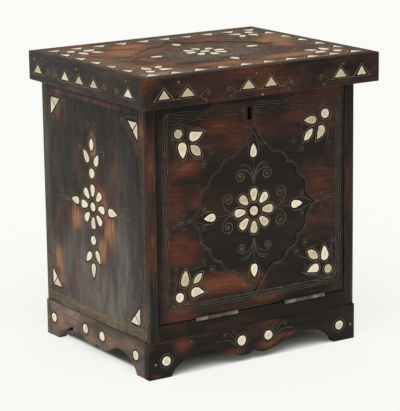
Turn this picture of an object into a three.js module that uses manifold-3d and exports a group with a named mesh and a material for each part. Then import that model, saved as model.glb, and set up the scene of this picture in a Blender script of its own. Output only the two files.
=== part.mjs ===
// An inlaid wooden casket: a case with a hinged fall front, a hinged lid with nailed bands,
// and a plinth of four scalloped aprons. Millimetres, +Z up.
// The origin is on the table, under the middle of the whole object's outline.
// Inside the group y = 0 is the case's front face, and y grows towards the back.

import * as THREE from 'three';
import { mergeVertices } from 'three/addons/utils/BufferGeometryUtils.js';
import Module from 'manifold-3d';

const wasm = await Module();
wasm.setup();

// Case and plinth
const casketHeight = 325;
const caseWidth = 267;
const caseDepth = 217;
const sideThickness = 12;
const backThickness = 10;
const bottomThickness = 10;
const railHeight = 17;
const railDepth = 18;
const plinthHeight = 40;
const plinthProud = 1.2;
const plinthThickness = 10;
const cornerBlockLeg = 24;
const cornerBlockHeight = 30;
const stopWidth = 8;
const stopDepth = 8;
const seatGap = 0.3;

// Lid
const lidThickness = 13.7;
const bandHeight = 32;
const bandThickness = 11;
const sideOverhang = 15;
const frontOverhang = 25;
const lockRailClearance = 1;

// Fall front
const fallThickness = 12;
const fallSetBack = 0.6;
const fallSideGap = 1;
const fallBottomGap = 0.8;
const fallTopGap = 1.2;

// Lower outline of the front and back aprons, measured from their middle and from the table
const longApron = { cuspHeight: 12, lobeOffset: 12, lobeHeight: 6.5, archOffset: 63, archHeight: 20.8, footLength: 27.7 };
// The same for the two side aprons
const shortApron = { cuspHeight: 15, lobeOffset: 12, lobeHeight: 9.5, archOffset: 46, archHeight: 20, footLength: 26 };
// How far the outline's curves hold their direction: lengths at the cusp and the foot, shares between them
const apronCurve = { cuspRun: 2, cuspFall: 2.5, lobeShare: 0.4, archShare: 0.5, footRun: 3 };

// Butt hinges: short, long and short knuckle on one pin
const hingeLength = 53;
const longKnuckle = 23;
const knuckleGap = 0.3;
const barrelRadius = 2.2;
const barrelOffset = 0.8;
const barrelClearance = 0.4;
const pinRadius = 0.9;
const pinClearance = 0.1;
const leafWidth = 10;
const leafThickness = 1.2;
const leafClearance = 0.3;
const barrelSides = 16;
const pinSides = 12;
const grooveSides = 20;
const fallHingePlaces = { left: -49.5, right: 65.5 };
const lidHingePlaces = { left: -75, right: 75 };

// Lock, let into the inner face of the fall
const keyholeX = -4;
const keyholeWidth = 5.5;
const keyholeHeight = 14;
const keyholeDrop = 14;
const lockWidth = 52;
const lockHeight = 40;
const lockDepth = 8;
const lockWall = 1.2;
const lockCoverThickness = 1;
const boltWidth = 12;
const boltThickness = 4;
const boltHeight = 11.5;
const boltTalonRadius = 3;
const boltTopSink = 0.3;
const boltClearance = 0.5;
const boltMortiseDepth = 10;
const ledgeThickness = 2.4;
const ledgeLength = 3.5;
const ledgeInset = 1.5;
const springThickness = 0.6;
const springWidth = 3;
const springDrop = 5;
const springSag = 10;
const keeperLength = 36;
const keeperMargin = 1.1;
const keeperThickness = 1.2;

// Inlay of bone set in mastic
const inlayProud = 0.3;
const inlayRoot = 0.5;
const discRadius = 5;
const petalLength = 13;
const petalWidth = 8.6;
const petalRing = 18;
const petalCount = 8;
const petalShape = { blunt: 0.2, waist: 0.1, inner: 0.55, outer: 0.75 };
const dropLength = 15;
const dropWidth = 8.8;
const dropShape = { shoulder: 0.15, belly: 0.55, heel: 0.75 };
const halfDropLength = 16;
const halfDropWidth = 9;
const halfDropShape = { upper: 0.42, lower: 0.58, back: 0.55, heel: 0.3, belly: 0.35, neck: 0.7, throat: 0.1 };
const sprayDropLength = 16.5;
const sprayDropWidth = 9.8;
const leafInlayLength = 14.5;
const leafInlayWidth = 7.6;
const pocketDepth = 1.5;
const pocketClearance = 0.3;
const pocketTipClearance = 0.6;
const curveSteps = 4;
const discSteps = 12;

// A cut runs this far past the face that it opens
const overcut = 1;

// Directions on a face, in degrees
const rightward = 0;
const upward = 90;
const leftward = 180;
const downward = 270;

// Scalloped medallions, sunk into the fall and into the lid
const medallionDepth = 0.8;
const fallMedallion = { halfWidth: 80, halfHeight: 92.5 };
const lidMedallion = { halfWidth: 92, halfHeight: 82 };
const fallMedallionDrop = 10.3;
const fallMedallionShift = 1.2;
const lidMedallionShift = 3.5;
const fallDropRise = 66;
const fallDropReach = 56.5;
const lidDropRise = 59;
const lidDropReach = 63;

// Corner sprays: their pieces' places from the disc, and the discs' places from the field's edges
const spray = { along: 21, side: 4, across: 5.7, down: 19, leafAlong: 21.7, leafDown: 19.2 };
const fallSprays = {
  topLeft: { side: 27, end: 32.6 },
  topRight: { side: 25.6, end: 32.2 },
  bottomLeft: { side: 26.1, end: 26.3 },
  bottomRight: { side: 21.1, end: 27.5 },
};
const lidSprays = {
  topLeft: { side: 31, end: 39.5 },
  topRight: { side: 31, end: 39.5 },
  bottomLeft: { side: 31, end: 39 },
  bottomRight: { side: 31, end: 33.3 },
};

// Border of triangles on the lid, pairs of them on its front band and rows on its side bands.
// Places along a side band are measured from the lid's middle towards the back.
const topTriangle = { base: 14, height: 8, sideInset: 12, frontInset: 15, backInset: 20, pitch: 29.4 };
const bandTriangle = { base: 17, height: 9.2, rise: 9.8 };
const frontPairs = [-111.8, -8.3, 110.5];
const frontPairPitch = 28.3;
const sideBandTriangle = { base: 15.4, height: 8.7, rise: 9.8, front: -88.5, middle: 11, pitch: 30.2, back: 100.5 };

// Side panels: a chain of inlays on the middle line and pairs of triangles in the corners
const sideChain = { rise: 126.7, disc: 37.5, leafPair: 55.5, leafSpread: 11, endLeaf: 70, drop: 40, leafTilt: 32 };
const cornerTriangle = { leg: 18.5, split: 0.9, side: 17, top: 37, bottom: 18.4 };

// Discs on the aprons
const baseDiscRadius = 5.2;
const frontDiscs = { outer: 113.5, outerHeight: 18.5, inner: 17.5, innerHeight: 24 };
const sideDiscs = { outer: 87.8, outerHeight: 21.7, inner: 18, innerHeight: 25.4, backwards: 5.2 };

// Levels and half widths that follow from the sizes above
const caseHalf = caseWidth / 2;
const innerHalf = caseHalf - sideThickness;
const lidUnderside = casketHeight - lidThickness;
const caseTop = lidUnderside - seatGap;
const bandBottom = casketHeight - bandHeight;
const lidHalf = caseHalf + sideOverhang;
const railTop = plinthHeight + railHeight;
const fallBottom = railTop + fallBottomGap;
const fallTop = bandBottom - fallTopGap;
const fallHalf = innerHalf - fallSideGap;
const fallInner = fallSetBack + fallThickness;
const plinthHalf = caseHalf + plinthProud;
const hingeReach = barrelOffset + barrelRadius;
const middleY = (caseDepth + Math.max(hingeReach, plinthProud) - frontOverhang - inlayProud) / 2;

// Finishes
const darkWood = new THREE.MeshStandardMaterial({ color: 0x3a221b, roughness: 0.55, metalness: 0 });
const plainWood = new THREE.MeshStandardMaterial({ color: 0x5a3c28, roughness: 0.75, metalness: 0 });
const bone = new THREE.MeshStandardMaterial({ color: 0xe6dcc3, roughness: 0.4, metalness: 0 });
const iron = new THREE.MeshStandardMaterial({ color: 0x77746e, roughness: 0.45, metalness: 0.9 });
const brass = new THREE.MeshStandardMaterial({ color: 0xa88a4a, roughness: 0.4, metalness: 0.9 });

// Turns a closed geometry into a solid that can be cut and joined.
function solidOf(geometry) {
  geometry.deleteAttribute('normal');
  geometry.deleteAttribute('uv');
  const merged = mergeVertices(geometry);
  const vertProperties = new Float32Array(merged.attributes.position.array);
  const triVerts = new Uint32Array(merged.index.array);
  return new wasm.Manifold(new wasm.Mesh({ numProp: 3, vertProperties, triVerts }));
}

// Turns a solid back into a geometry.
function geometryOf(solid) {
  const mesh = solid.getMesh();
  const geometry = new THREE.BufferGeometry();
  geometry.setAttribute('position', new THREE.BufferAttribute(new Float32Array(mesh.vertProperties), 3));
  geometry.setIndex(new THREE.BufferAttribute(new Uint32Array(mesh.triVerts), 1));
  geometry.computeVertexNormals();
  return geometry;
}

// A block between two corners.
function block(low, high) {
  const size = high.map((value, i) => value - low[i]);
  const geometry = new THREE.BoxGeometry(...size);
  geometry.translate(...low.map((value, i) => value + size[i] / 2));
  return solidOf(geometry);
}

// An outline of points, raised from one level to another along Z.
function prism(points, low, high) {
  const shape = new THREE.Shape(points);
  const geometry = new THREE.ExtrudeGeometry(shape, { depth: high - low, bevelEnabled: false });
  geometry.translate(0, 0, low);
  return solidOf(geometry);
}

// A round bar along X around the line y, z.
function barX(radius, from, to, y, z, sides = barrelSides) {
  const geometry = new THREE.CylinderGeometry(radius, radius, to - from, sides);
  geometry.rotateZ(Math.PI / 2);
  geometry.translate((from + to) / 2, y, z);
  return solidOf(geometry);
}

function joinAll(first, others) {
  return others.reduce((sum, next) => sum.add(next), first);
}

// Outlines of the inlays, each around its own middle and pointing along +X.

function discOutline(radius) {
  const shape = new THREE.Shape();
  shape.absarc(0, 0, radius, 0, 2 * Math.PI);
  return shape.getPoints(discSteps).slice(0, -1);
}

// A drop with a sharp tip at +X and a round end at -X.
function dropOutline(length, width) {
  const tip = length / 2;
  const shoulder = dropShape.shoulder * length;
  const belly = dropShape.belly * width;
  const heel = dropShape.heel * width;
  const shape = new THREE.Shape();
  shape.moveTo(tip, 0);
  shape.bezierCurveTo(shoulder, belly, -tip, heel, -tip, 0);
  shape.bezierCurveTo(-tip, -heel, shoulder, -belly, tip, 0);
  return shape.getPoints(curveSteps).slice(0, -1);
}

// Half a drop: straight along its upper side, curved below, with its tip at +X.
function halfDropOutline(length, width) {
  const { upper, lower, back, heel, belly, neck, throat } = halfDropShape;
  const tip = length / 2;
  const top = upper * width;
  const bottom = -lower * width;
  const shape = new THREE.Shape();
  shape.moveTo(tip, top);
  shape.lineTo(-back * tip, top);
  shape.bezierCurveTo(-tip, top, -tip, bottom, -heel * tip, bottom);
  shape.bezierCurveTo(belly * tip, bottom, neck * tip, -throat * width, tip, top);
  return shape.getPoints(curveSteps).slice(0, -1);
}

// A petal, round and wide at +X, blunt and narrow at -X.
function petalOutline(length, width) {
  const end = length / 2;
  const blunt = petalShape.blunt * width;
  const waist = -petalShape.waist * end;
  const inner = petalShape.inner * width;
  const outer = petalShape.outer * width;
  const shape = new THREE.Shape();
  shape.moveTo(-end, -blunt);
  shape.bezierCurveTo(waist, -inner, end, -outer, end, 0);
  shape.bezierCurveTo(end, outer, waist, inner, -end, blunt);
  return shape.getPoints(curveSteps);
}

// An almond-shaped leaf with a sharp tip at each end.
function leafOutline(length, width) {
  const tip = length / 2;
  const shape = new THREE.Shape();
  shape.moveTo(tip, 0);
  shape.quadraticCurveTo(0, width, -tip, 0);
  shape.quadraticCurveTo(0, -width, tip, 0);
  return shape.getPoints(curveSteps).slice(0, -1);
}

// An upright triangle that stands on the middle of its base and points along +Y.
function triangleOutline(base, height) {
  return [new THREE.Vector2(-base / 2, 0), new THREE.Vector2(base / 2, 0), new THREE.Vector2(0, height)];
}

// Puts an outline on a face: mirrored across its own length if asked, turned, then moved.
function placed(outline, u, v, degrees = 0, mirrored = false) {
  const angle = THREE.MathUtils.degToRad(degrees);
  const points = outline.map((point) => {
    const start = new THREE.Vector2(point.x, mirrored ? -point.y : point.y);
    return start.rotateAround(new THREE.Vector2(), angle).add(new THREE.Vector2(u, v));
  });
  return mirrored ? points.reverse() : points;
}

// The eight petals around a rosette's middle, as places with their angles.
function petalPlaces(u, v) {
  const places = [];
  for (let i = 0; i < petalCount; i += 1) {
    const degrees = (360 / petalCount) * i;
    const angle = THREE.MathUtils.degToRad(degrees);
    places.push({ u: u + petalRing * Math.cos(angle), v: v + petalRing * Math.sin(angle), degrees });
  }
  return places;
}

function rosette(u, v) {
  const petals = petalPlaces(u, v).map((place) => (
    placed(petalOutline(petalLength, petalWidth), place.u, place.v, place.degrees)
  ));
  return [placed(discOutline(discRadius), u, v), ...petals];
}

// The four drops round a rosette, pointing outwards.
function fourDrops(u, v, reach, rise) {
  const drop = dropOutline(dropLength, dropWidth);
  return [placed(drop, u + reach, v, rightward), placed(drop, u, v + rise, upward),
    placed(drop, u - reach, v, leftward), placed(drop, u, v - rise, downward)];
}

// One corner spray: a disc in the corner, a half drop and a drop beside it and a leaf on the diagonal.
// The signs give the corner's side.
function cornerSpray(u, v, signU, signV) {
  const leafAngle = THREE.MathUtils.radToDeg(Math.atan2(-signV * spray.leafDown, -signU * spray.leafAlong));
  return [
    placed(discOutline(discRadius), u, v),
    placed(halfDropOutline(halfDropLength, halfDropWidth), u - signU * spray.along, v - signV * spray.side,
      signU > 0 ? leftward : rightward, signU * signV > 0),
    placed(dropOutline(sprayDropLength, sprayDropWidth), u - signU * spray.across, v - signV * spray.down,
      signV > 0 ? downward : upward),
    placed(leafOutline(leafInlayLength, leafInlayWidth), u - signU * spray.leafAlong,
      v - signV * spray.leafDown, leafAngle),
  ];
}

// The sprays in the four corners of a field, each with its own distance from the field's edges.
function fourSprays(left, right, bottom, top, sprays) {
  const { topLeft, topRight, bottomLeft, bottomRight } = sprays;
  return [
    ...cornerSpray(left + topLeft.side, top - topLeft.end, -1, 1),
    ...cornerSpray(right - topRight.side, top - topRight.end, 1, 1),
    ...cornerSpray(left + bottomLeft.side, bottom + bottomLeft.end, -1, -1),
    ...cornerSpray(right - bottomRight.side, bottom + bottomRight.end, 1, -1),
  ];
}

// A lozenge with an ogee at each tip and three round lobes on each of its four sides.
// Knots are shares of the half width and half height.
function medallionOutline(u, v, size) {
  const knots = [[1, 0], [0.84, 0.175], [0.7, 0.35], [0.53, 0.52], [0.31, 0.65], [0, 1]];
  const bulge = [-0.1, 0.22, 0.22, 0.22, -0.06];
  const quadrant = new THREE.Path();
  quadrant.moveTo(knots[0][0] * size.halfWidth, knots[0][1] * size.halfHeight);
  for (let i = 1; i < knots.length; i += 1) {
    const from = new THREE.Vector2(knots[i - 1][0] * size.halfWidth, knots[i - 1][1] * size.halfHeight);
    const to = new THREE.Vector2(knots[i][0] * size.halfWidth, knots[i][1] * size.halfHeight);
    const chord = to.clone().sub(from);
    const outwards = new THREE.Vector2(chord.y, -chord.x).multiplyScalar(2 * bulge[i - 1]);
    const control = from.clone().add(to).multiplyScalar(0.5).add(outwards);
    quadrant.quadraticCurveTo(control.x, control.y, to.x, to.y);
  }
  const first = quadrant.getPoints(curveSteps).slice(0, -1);
  const points = [];
  for (let turn = 0; turn < 4; turn += 1) {
    const signU = turn === 0 || turn === 3 ? 1 : -1;
    const signV = turn < 2 ? 1 : -1;
    const quarter = first.concat(new THREE.Vector2(0, size.halfHeight))
      .map((point) => new THREE.Vector2(signU * point.x, signV * point.y));
    if (signU * signV < 0) {
      quarter.reverse();
    }
    points.push(...quarter.slice(0, -1));
  }
  return points.map((point) => point.add(new THREE.Vector2(u, v)));
}

// The stretch of an apron's lower outline from the middle cusp to the right foot.
function apronHalf(half, size) {
  const { cuspHeight, lobeOffset, lobeHeight, archOffset, archHeight, footLength } = size;
  const { cuspRun, cuspFall, lobeShare, archShare, footRun } = apronCurve;
  const footEdge = half - footLength;
  const lobeRun = (archOffset - lobeOffset) * lobeShare;
  const archRun = (footEdge - archOffset) * archShare;
  const path = new THREE.Path();
  path.moveTo(0, cuspHeight);
  path.bezierCurveTo(cuspRun, cuspHeight - cuspFall, lobeOffset / 2, lobeHeight, lobeOffset, lobeHeight);
  path.bezierCurveTo(lobeOffset + lobeRun, lobeHeight, archOffset - lobeRun, archHeight, archOffset, archHeight);
  path.bezierCurveTo(archOffset + archRun, archHeight, footEdge - footRun, archHeight / 2, footEdge, 0);
  return path.getPoints(curveSteps + 1);
}

// A scalloped apron, lying on its back: its outer face is at z = 0 and its foot at y = 0.
function apronPoints(half, size, end) {
  const right = apronHalf(half, size);
  const left = right.slice(1).reverse().map((point) => new THREE.Vector2(-point.x, point.y));
  return [
    new THREE.Vector2(-end, plinthHeight),
    new THREE.Vector2(-end, 0),
    ...left,
    ...right,
    new THREE.Vector2(end, 0),
    new THREE.Vector2(end, plinthHeight),
  ];
}

// Inlays that stand a little proud of a face at a given level, rooted below it.
function inlayed(board, outlines, ground = 0) {
  return joinAll(board, outlines.map((outline) => prism(outline, ground - inlayRoot, ground + inlayProud)));
}

const casket = new THREE.Group();
casket.position.y = -middleY;

function addPart(name, solid, material, place = () => {}) {
  const mesh = new THREE.Mesh(geometryOf(solid), material);
  mesh.name = name;
  place(mesh);
  casket.add(mesh);
}

// Places for boards that are drawn on their decorated face: u to the right, v up, z out of the face.

function onFront(y) {
  return (mesh) => {
    mesh.rotation.x = Math.PI / 2;
    mesh.position.y = y;
  };
}

function onLeft(x) {
  return (mesh) => {
    mesh.rotation.set(Math.PI / 2, 0, -Math.PI / 2, 'ZYX');
    mesh.position.x = x;
  };
}

function onRight(x) {
  return (mesh) => {
    mesh.rotation.set(Math.PI / 2, 0, Math.PI / 2, 'ZYX');
    mesh.position.x = x;
  };
}

// The lid's and the fall's butt hinges.

function shortKnuckle() {
  return (hingeLength - longKnuckle) / 2 - knuckleGap;
}

// The stretches along X of the knuckles that belong to one leaf.
function knuckles(isUpper) {
  const end = hingeLength / 2;
  const long = longKnuckle / 2;
  return isUpper ? [[-long, long]] : [[-end, shortKnuckle() - end], [end - shortKnuckle(), end]];
}

// One leaf around its pin, which lies along X at the origin; the leaf reaches along +Y.
function hingeLeaf(isUpper, gap) {
  const end = hingeLength / 2;
  const level = gap / 2;
  const low = isUpper ? level : -level - leafThickness;
  let leaf = block([-end, 0, low], [end, leafWidth, low + leafThickness]);
  for (const [from, to] of knuckles(!isUpper)) {
    const room = block([from - knuckleGap, -barrelRadius, low - overcut],
      [to + knuckleGap, barrelRadius + leafClearance, low + leafThickness + overcut]);
    leaf = leaf.subtract(room);
  }
  leaf = joinAll(leaf, knuckles(isUpper).map(([from, to]) => barX(barrelRadius, from, to, 0, 0)));
  return leaf.subtract(barX(pinRadius + pinClearance, -end - overcut, end + overcut, 0, 0));
}

function hingePin() {
  return barX(pinRadius, -hingeLength / 2, hingeLength / 2, 0, 0, pinSides);
}

// What a hinge takes out of the wood: two shallow pockets and a groove for the barrel.
function hingeRoom(gap) {
  const end = hingeLength / 2 + leafClearance;
  const depth = gap / 2 + leafThickness;
  const pockets = block([-end, 0, -depth], [end, leafWidth + leafClearance, depth]);
  return pockets.add(barX(barrelRadius + barrelClearance, -end, end, 0, 0, grooveSides));
}

function moved(solid, x, y, z, halfTurn = false) {
  const geometry = geometryOf(solid);
  if (halfTurn) {
    geometry.rotateZ(Math.PI);
  }
  geometry.translate(x, y, z);
  return solidOf(geometry);
}

const fallPinY = -barrelOffset;
const fallPinZ = railTop + fallBottomGap / 2;
const lidPinY = caseDepth + barrelOffset;
const lidPinZ = caseTop + seatGap / 2;

function fallHingeRooms() {
  return Object.values(fallHingePlaces).map((x) => moved(hingeRoom(fallBottomGap), x, fallPinY, fallPinZ));
}

function lidHingeRooms() {
  return Object.values(lidHingePlaces).map((x) => moved(hingeRoom(seatGap), x, lidPinY, lidPinZ, true));
}

function cutAll(first, rooms) {
  return rooms.reduce((rest, room) => rest.subtract(room), first);
}

// Case

function cornerPairs(u, v, signU, signV) {
  const { leg, split } = cornerTriangle;
  const tip = new THREE.Vector2(-(leg + split) / 2, (split - leg) / 2);
  const along = [new THREE.Vector2(-split, 0), new THREE.Vector2(-leg, 0), tip];
  const down = along.map((point) => new THREE.Vector2(point.y, point.x)).reverse();
  return [along, down].map((points) => {
    const turned = points.map((point) => new THREE.Vector2(u + signU * point.x, v + signV * point.y));
    return signU * signV < 0 ? turned.reverse() : turned;
  });
}

function sidePanelInlays(middle) {
  const v = plinthHeight + sideChain.rise;
  const leaf = leafOutline(leafInlayLength, leafInlayWidth);
  const disc = discOutline(discRadius);
  const inlays = [...rosette(middle, v)];
  for (const sign of [-1, 1]) {
    inlays.push(placed(dropOutline(dropLength, dropWidth), middle + sign * sideChain.drop, v,
      sign > 0 ? rightward : leftward));
    inlays.push(placed(disc, middle, v + sign * sideChain.disc));
    inlays.push(placed(leaf, middle, v + sign * sideChain.endLeaf, upward));
    for (const side of [-1, 1]) {
      inlays.push(placed(leaf, middle + side * sideChain.leafSpread, v + sign * sideChain.leafPair,
        upward - side * sign * sideChain.leafTilt));
    }
  }
  return inlays;
}

function sidePanel(low, high) {
  const left = low + cornerTriangle.side;
  const right = high - cornerTriangle.side;
  const top = caseTop - cornerTriangle.top;
  const bottom = plinthHeight + cornerTriangle.bottom;
  const board = block([low, plinthHeight, -sideThickness], [high, caseTop, 0]);
  return inlayed(board, [
    ...sidePanelInlays((low + high) / 2),
    ...cornerPairs(left, top, -1, 1),
    ...cornerPairs(right, top, 1, 1),
    ...cornerPairs(left, bottom, -1, -1),
    ...cornerPairs(right, bottom, 1, -1),
  ]);
}

function addCase() {
  const bottomBack = caseDepth - backThickness;
  addPart('side_left', sidePanel(-caseDepth, 0), darkWood, onLeft(-caseHalf));
  addPart('side_right', sidePanel(0, caseDepth), darkWood, onRight(caseHalf));
  const back = block([-innerHalf, bottomBack, plinthHeight], [innerHalf, caseDepth, caseTop]);
  addPart('back_board', cutAll(back, lidHingeRooms()), plainWood);
  addPart('bottom_board', block([-innerHalf, railDepth, railTop - bottomThickness],
    [innerHalf, bottomBack, railTop]), plainWood);
  const rail = block([-innerHalf, 0, plinthHeight], [innerHalf, railDepth, railTop]);
  addPart('front_rail', cutAll(rail, fallHingeRooms()), darkWood);
  for (const [side, sign] of [['left', -1], ['right', 1]]) {
    const outer = sign * innerHalf;
    const inner = sign * (innerHalf - stopWidth);
    addPart(`fall_stop_${side}`, block([Math.min(outer, inner), fallInner + seatGap, railTop],
      [Math.max(outer, inner), fallInner + seatGap + stopDepth, fallTop]), plainWood);
  }
}

// Plinth

// Four discs along an apron; their middle may lie off the apron's middle.
function apronDiscs(places, middle) {
  const disc = discOutline(baseDiscRadius);
  return [-1, 1].flatMap((sign) => [
    placed(disc, middle + sign * places.outer, places.outerHeight),
    placed(disc, middle + sign * places.inner, places.innerHeight),
  ]);
}

function longApronSolid() {
  return prism(apronPoints(plinthHalf, longApron, plinthHalf), -plinthThickness, 0);
}

function shortApronSolid() {
  const half = caseDepth / 2 + plinthProud;
  return prism(apronPoints(half, shortApron, half - plinthThickness), -plinthThickness, 0);
}

function addPlinth() {
  const middle = caseDepth / 2;
  addPart('apron_front', inlayed(longApronSolid(), apronDiscs(frontDiscs, 0)), darkWood, onFront(-plinthProud));
  addPart('apron_back', longApronSolid(), darkWood, (mesh) => {
    mesh.rotation.set(Math.PI / 2, 0, Math.PI, 'ZYX');
    mesh.position.y = caseDepth + plinthProud;
  });
  for (const [side, sign] of [['left', -1], ['right', 1]]) {
    const apron = inlayed(shortApronSolid(), apronDiscs(sideDiscs, sign * sideDiscs.backwards));
    addPart(`apron_${side}`, apron, darkWood, (mesh) => {
      (sign < 0 ? onLeft : onRight)(sign * plinthHalf)(mesh);
      mesh.position.y = middle;
    });
  }
  const cornerX = plinthHalf - plinthThickness;
  const cornerY = middle + plinthProud - plinthThickness;
  let number = 1;
  for (const signX of [-1, 1]) {
    for (const signY of [-1, 1]) {
      const x = signX * cornerX;
      const y = middle + signY * cornerY;
      const points = [new THREE.Vector2(x, y), new THREE.Vector2(x - signX * cornerBlockLeg, y),
        new THREE.Vector2(x, y - signY * cornerBlockLeg)];
      addPart(`corner_block_${number}`, prism(points, plinthHeight - cornerBlockHeight, plinthHeight), plainWood);
      number += 1;
    }
  }
}

// Lid

function topBorder() {
  const triangle = triangleOutline(topTriangle.base, topTriangle.height);
  const left = -lidHalf + topTriangle.sideInset;
  const right = lidHalf - topTriangle.sideInset;
  const front = -frontOverhang + topTriangle.frontInset;
  const back = caseDepth - topTriangle.backInset;
  const acrossCount = Math.floor((right - left) / topTriangle.pitch);
  const alongCount = Math.floor((back - front) / topTriangle.pitch);
  const border = [];
  for (let i = 0; i < acrossCount; i += 1) {
    const u = left + ((i + 0.5) * (right - left)) / acrossCount;
    border.push(placed(triangle, u, front));
    border.push(placed(triangle, u, back, leftward));
  }
  for (let i = 1; i < alongCount - 1; i += 1) {
    const v = front + ((i + 0.5) * (back - front)) / alongCount;
    border.push(placed(triangle, left, v, downward));
    border.push(placed(triangle, right, v, upward));
  }
  return border;
}

function addLidBoard(front, middle) {
  const half = lidHalf - bandThickness;
  const u = lidMedallionShift;
  let board = block([-half, front + bandThickness, -lidThickness], [half, caseDepth, 0]);
  board = board.subtract(prism(medallionOutline(u, middle, lidMedallion), -medallionDepth, overcut));
  const onGround = [...rosette(u, middle), ...fourDrops(u, middle, lidDropReach, lidDropRise)];
  board = inlayed(board, onGround, -medallionDepth);
  board = inlayed(board, [...fourSprays(-lidHalf, lidHalf, front, caseDepth, lidSprays), ...topBorder()]);
  board = moved(board, 0, 0, casketHeight);
  addPart('lid_board', cutAll(board, lidHingeRooms()), darkWood);
}

// The three bands round the lid's edges, each with its row of triangles.
function addLidBands(front, middle) {
  const triangle = triangleOutline(bandTriangle.base, bandTriangle.height);
  const pairs = frontPairs.flatMap((u) => [-0.5, 0.5].map((step) => (
    placed(triangle, u + step * frontPairPitch, bandBottom + bandTriangle.rise)
  )));
  const frontBand = block([-lidHalf, bandBottom, -bandThickness], [lidHalf, casketHeight, 0]);
  addPart('lid_band_front', inlayed(frontBand, pairs), darkWood, onFront(front));

  const sideTriangle = triangleOutline(sideBandTriangle.base, sideBandTriangle.height);
  const { pitch, rise } = sideBandTriangle;
  const group = [-pitch, 0, pitch].map((step) => sideBandTriangle.middle + step);
  const places = [sideBandTriangle.front, ...group, sideBandTriangle.back];
  const inner = front + bandThickness;
  for (const [side, sign] of [['left', -1], ['right', 1]]) {
    const low = sign < 0 ? -caseDepth : inner;
    const high = sign < 0 ? -inner : caseDepth;
    const band = block([low, bandBottom, -bandThickness], [high, casketHeight, 0]);
    const row = places.map((place) => placed(sideTriangle, sign * (middle + place), bandBottom + rise));
    addPart(`lid_band_${side}`, inlayed(band, row), darkWood, (sign < 0 ? onLeft : onRight)(sign * lidHalf));
  }
}

function addLid() {
  const front = -frontOverhang;
  const middle = (front + caseDepth) / 2;
  addLidBoard(front, middle);
  addLidBands(front, middle);
  addLockRail();
}

const boltMiddleY = fallInner - lockDepth + lockWall + (lockDepth - lockWall - lockCoverThickness) / 2;
const mortiseHalf = boltWidth / 2 + boltClearance;
const mortiseLow = boltMiddleY - boltThickness / 2 - boltClearance;
const mortiseHigh = boltMiddleY + boltThickness / 2 + boltClearance;

// The rail under the lid's front, which the fall meets and the bolt enters, and its keeper plate.
function addLockRail() {
  const half = innerHalf - lockRailClearance;
  let rail = block([-half, bandThickness - frontOverhang, bandBottom], [half, fallInner, lidUnderside]);
  const mortise = block([keyholeX - mortiseHalf, mortiseLow, bandBottom - overcut],
    [keyholeX + mortiseHalf, mortiseHigh, bandBottom + boltMortiseDepth]);
  const keeperLow = [keyholeX - keeperLength / 2, mortiseLow - keeperMargin, bandBottom];
  const keeperHigh = [keyholeX + keeperLength / 2, mortiseHigh + keeperMargin, bandBottom + keeperThickness];
  const keeperRoom = block([keeperLow[0] - leafClearance, keeperLow[1] - leafClearance, bandBottom - overcut],
    [keeperHigh[0] + leafClearance, keeperHigh[1] + leafClearance, keeperHigh[2]]);
  rail = rail.subtract(mortise).subtract(keeperRoom);
  addPart('lid_lock_rail', rail, plainWood);
  addPart('lock_keeper', block(keeperLow, keeperHigh).subtract(mortise), brass);
}

// Fall front

const medallionMiddle = (fallTop + fallBottom) / 2 - fallMedallionDrop;

function fallRoundInlays() {
  const middleU = fallMedallionShift;
  const disc = discOutline(discRadius);
  const discPocket = discOutline(discRadius + pocketClearance);
  const centre = { u: middleU, v: medallionMiddle, degrees: 0 };
  const list = [{ name: 'rosette_disc', outline: disc, pocket: discPocket, ...centre }];
  const petal = petalOutline(petalLength, petalWidth);
  const petalPocket = petalOutline(petalLength + 2 * pocketClearance, petalWidth + 2 * pocketClearance);
  petalPlaces(middleU, medallionMiddle).forEach((place, i) => {
    list.push({ name: `rosette_petal_${i + 1}`, outline: petal, pocket: petalPocket, ...place });
  });
  const drop = dropOutline(dropLength, dropWidth);
  const dropPocket = dropOutline(dropLength + 2 * pocketTipClearance, dropWidth + 2 * pocketClearance);
  const reach = {
    right: [fallDropReach, 0, rightward],
    top: [0, fallDropRise, upward],
    left: [-fallDropReach, 0, leftward],
    bottom: [0, -fallDropRise, downward],
  };
  for (const [side, [across, rise, degrees]] of Object.entries(reach)) {
    const place = { u: middleU + across, v: medallionMiddle + rise, degrees };
    list.push({ name: `drop_${side}`, outline: drop, pocket: dropPocket, ...place });
  }
  return list;
}

// The keyhole: a slot with a round upper end.
function keyholePoints() {
  const top = fallTop - keyholeDrop;
  const radius = keyholeWidth / 2;
  const shape = new THREE.Shape();
  shape.moveTo(keyholeX - radius, top - keyholeHeight);
  shape.lineTo(keyholeX + radius, top - keyholeHeight);
  shape.absarc(keyholeX, top - radius, radius, 0, Math.PI);
  return shape.getPoints(curveSteps * 2).slice(0, -1);
}

function addFall() {
  const back = -fallThickness;
  const ground = -medallionDepth;
  let board = block([-fallHalf, fallBottom, back], [fallHalf, fallTop, 0]);
  const medallion = medallionOutline(fallMedallionShift, medallionMiddle, fallMedallion);
  board = board.subtract(prism(medallion, ground, overcut));
  board = inlayed(board, fourSprays(-fallHalf, fallHalf, fallBottom, fallTop, fallSprays));
  for (const inlay of fallRoundInlays()) {
    const { name, outline, pocket, u, v, degrees } = inlay;
    board = board.subtract(prism(placed(pocket, u, v, degrees), ground - pocketDepth, overcut));
    addPart(name, prism(placed(outline, u, v, degrees), ground - pocketDepth, ground + inlayProud), bone,
      onFront(fallSetBack));
  }
  board = board.subtract(prism(keyholePoints(), back - overcut, overcut));
  board = board.subtract(block([keyholeX - lockWidth / 2, fallTop - lockHeight, back - overcut],
    [keyholeX + lockWidth / 2, fallTop + overcut, back + lockDepth]));
  const standing = geometryOf(board);
  standing.rotateX(Math.PI / 2);
  standing.translate(0, fallSetBack, 0);
  addPart('fall_board', cutAll(solidOf(standing), fallHingeRooms()), darkWood);
}

// Lock

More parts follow.
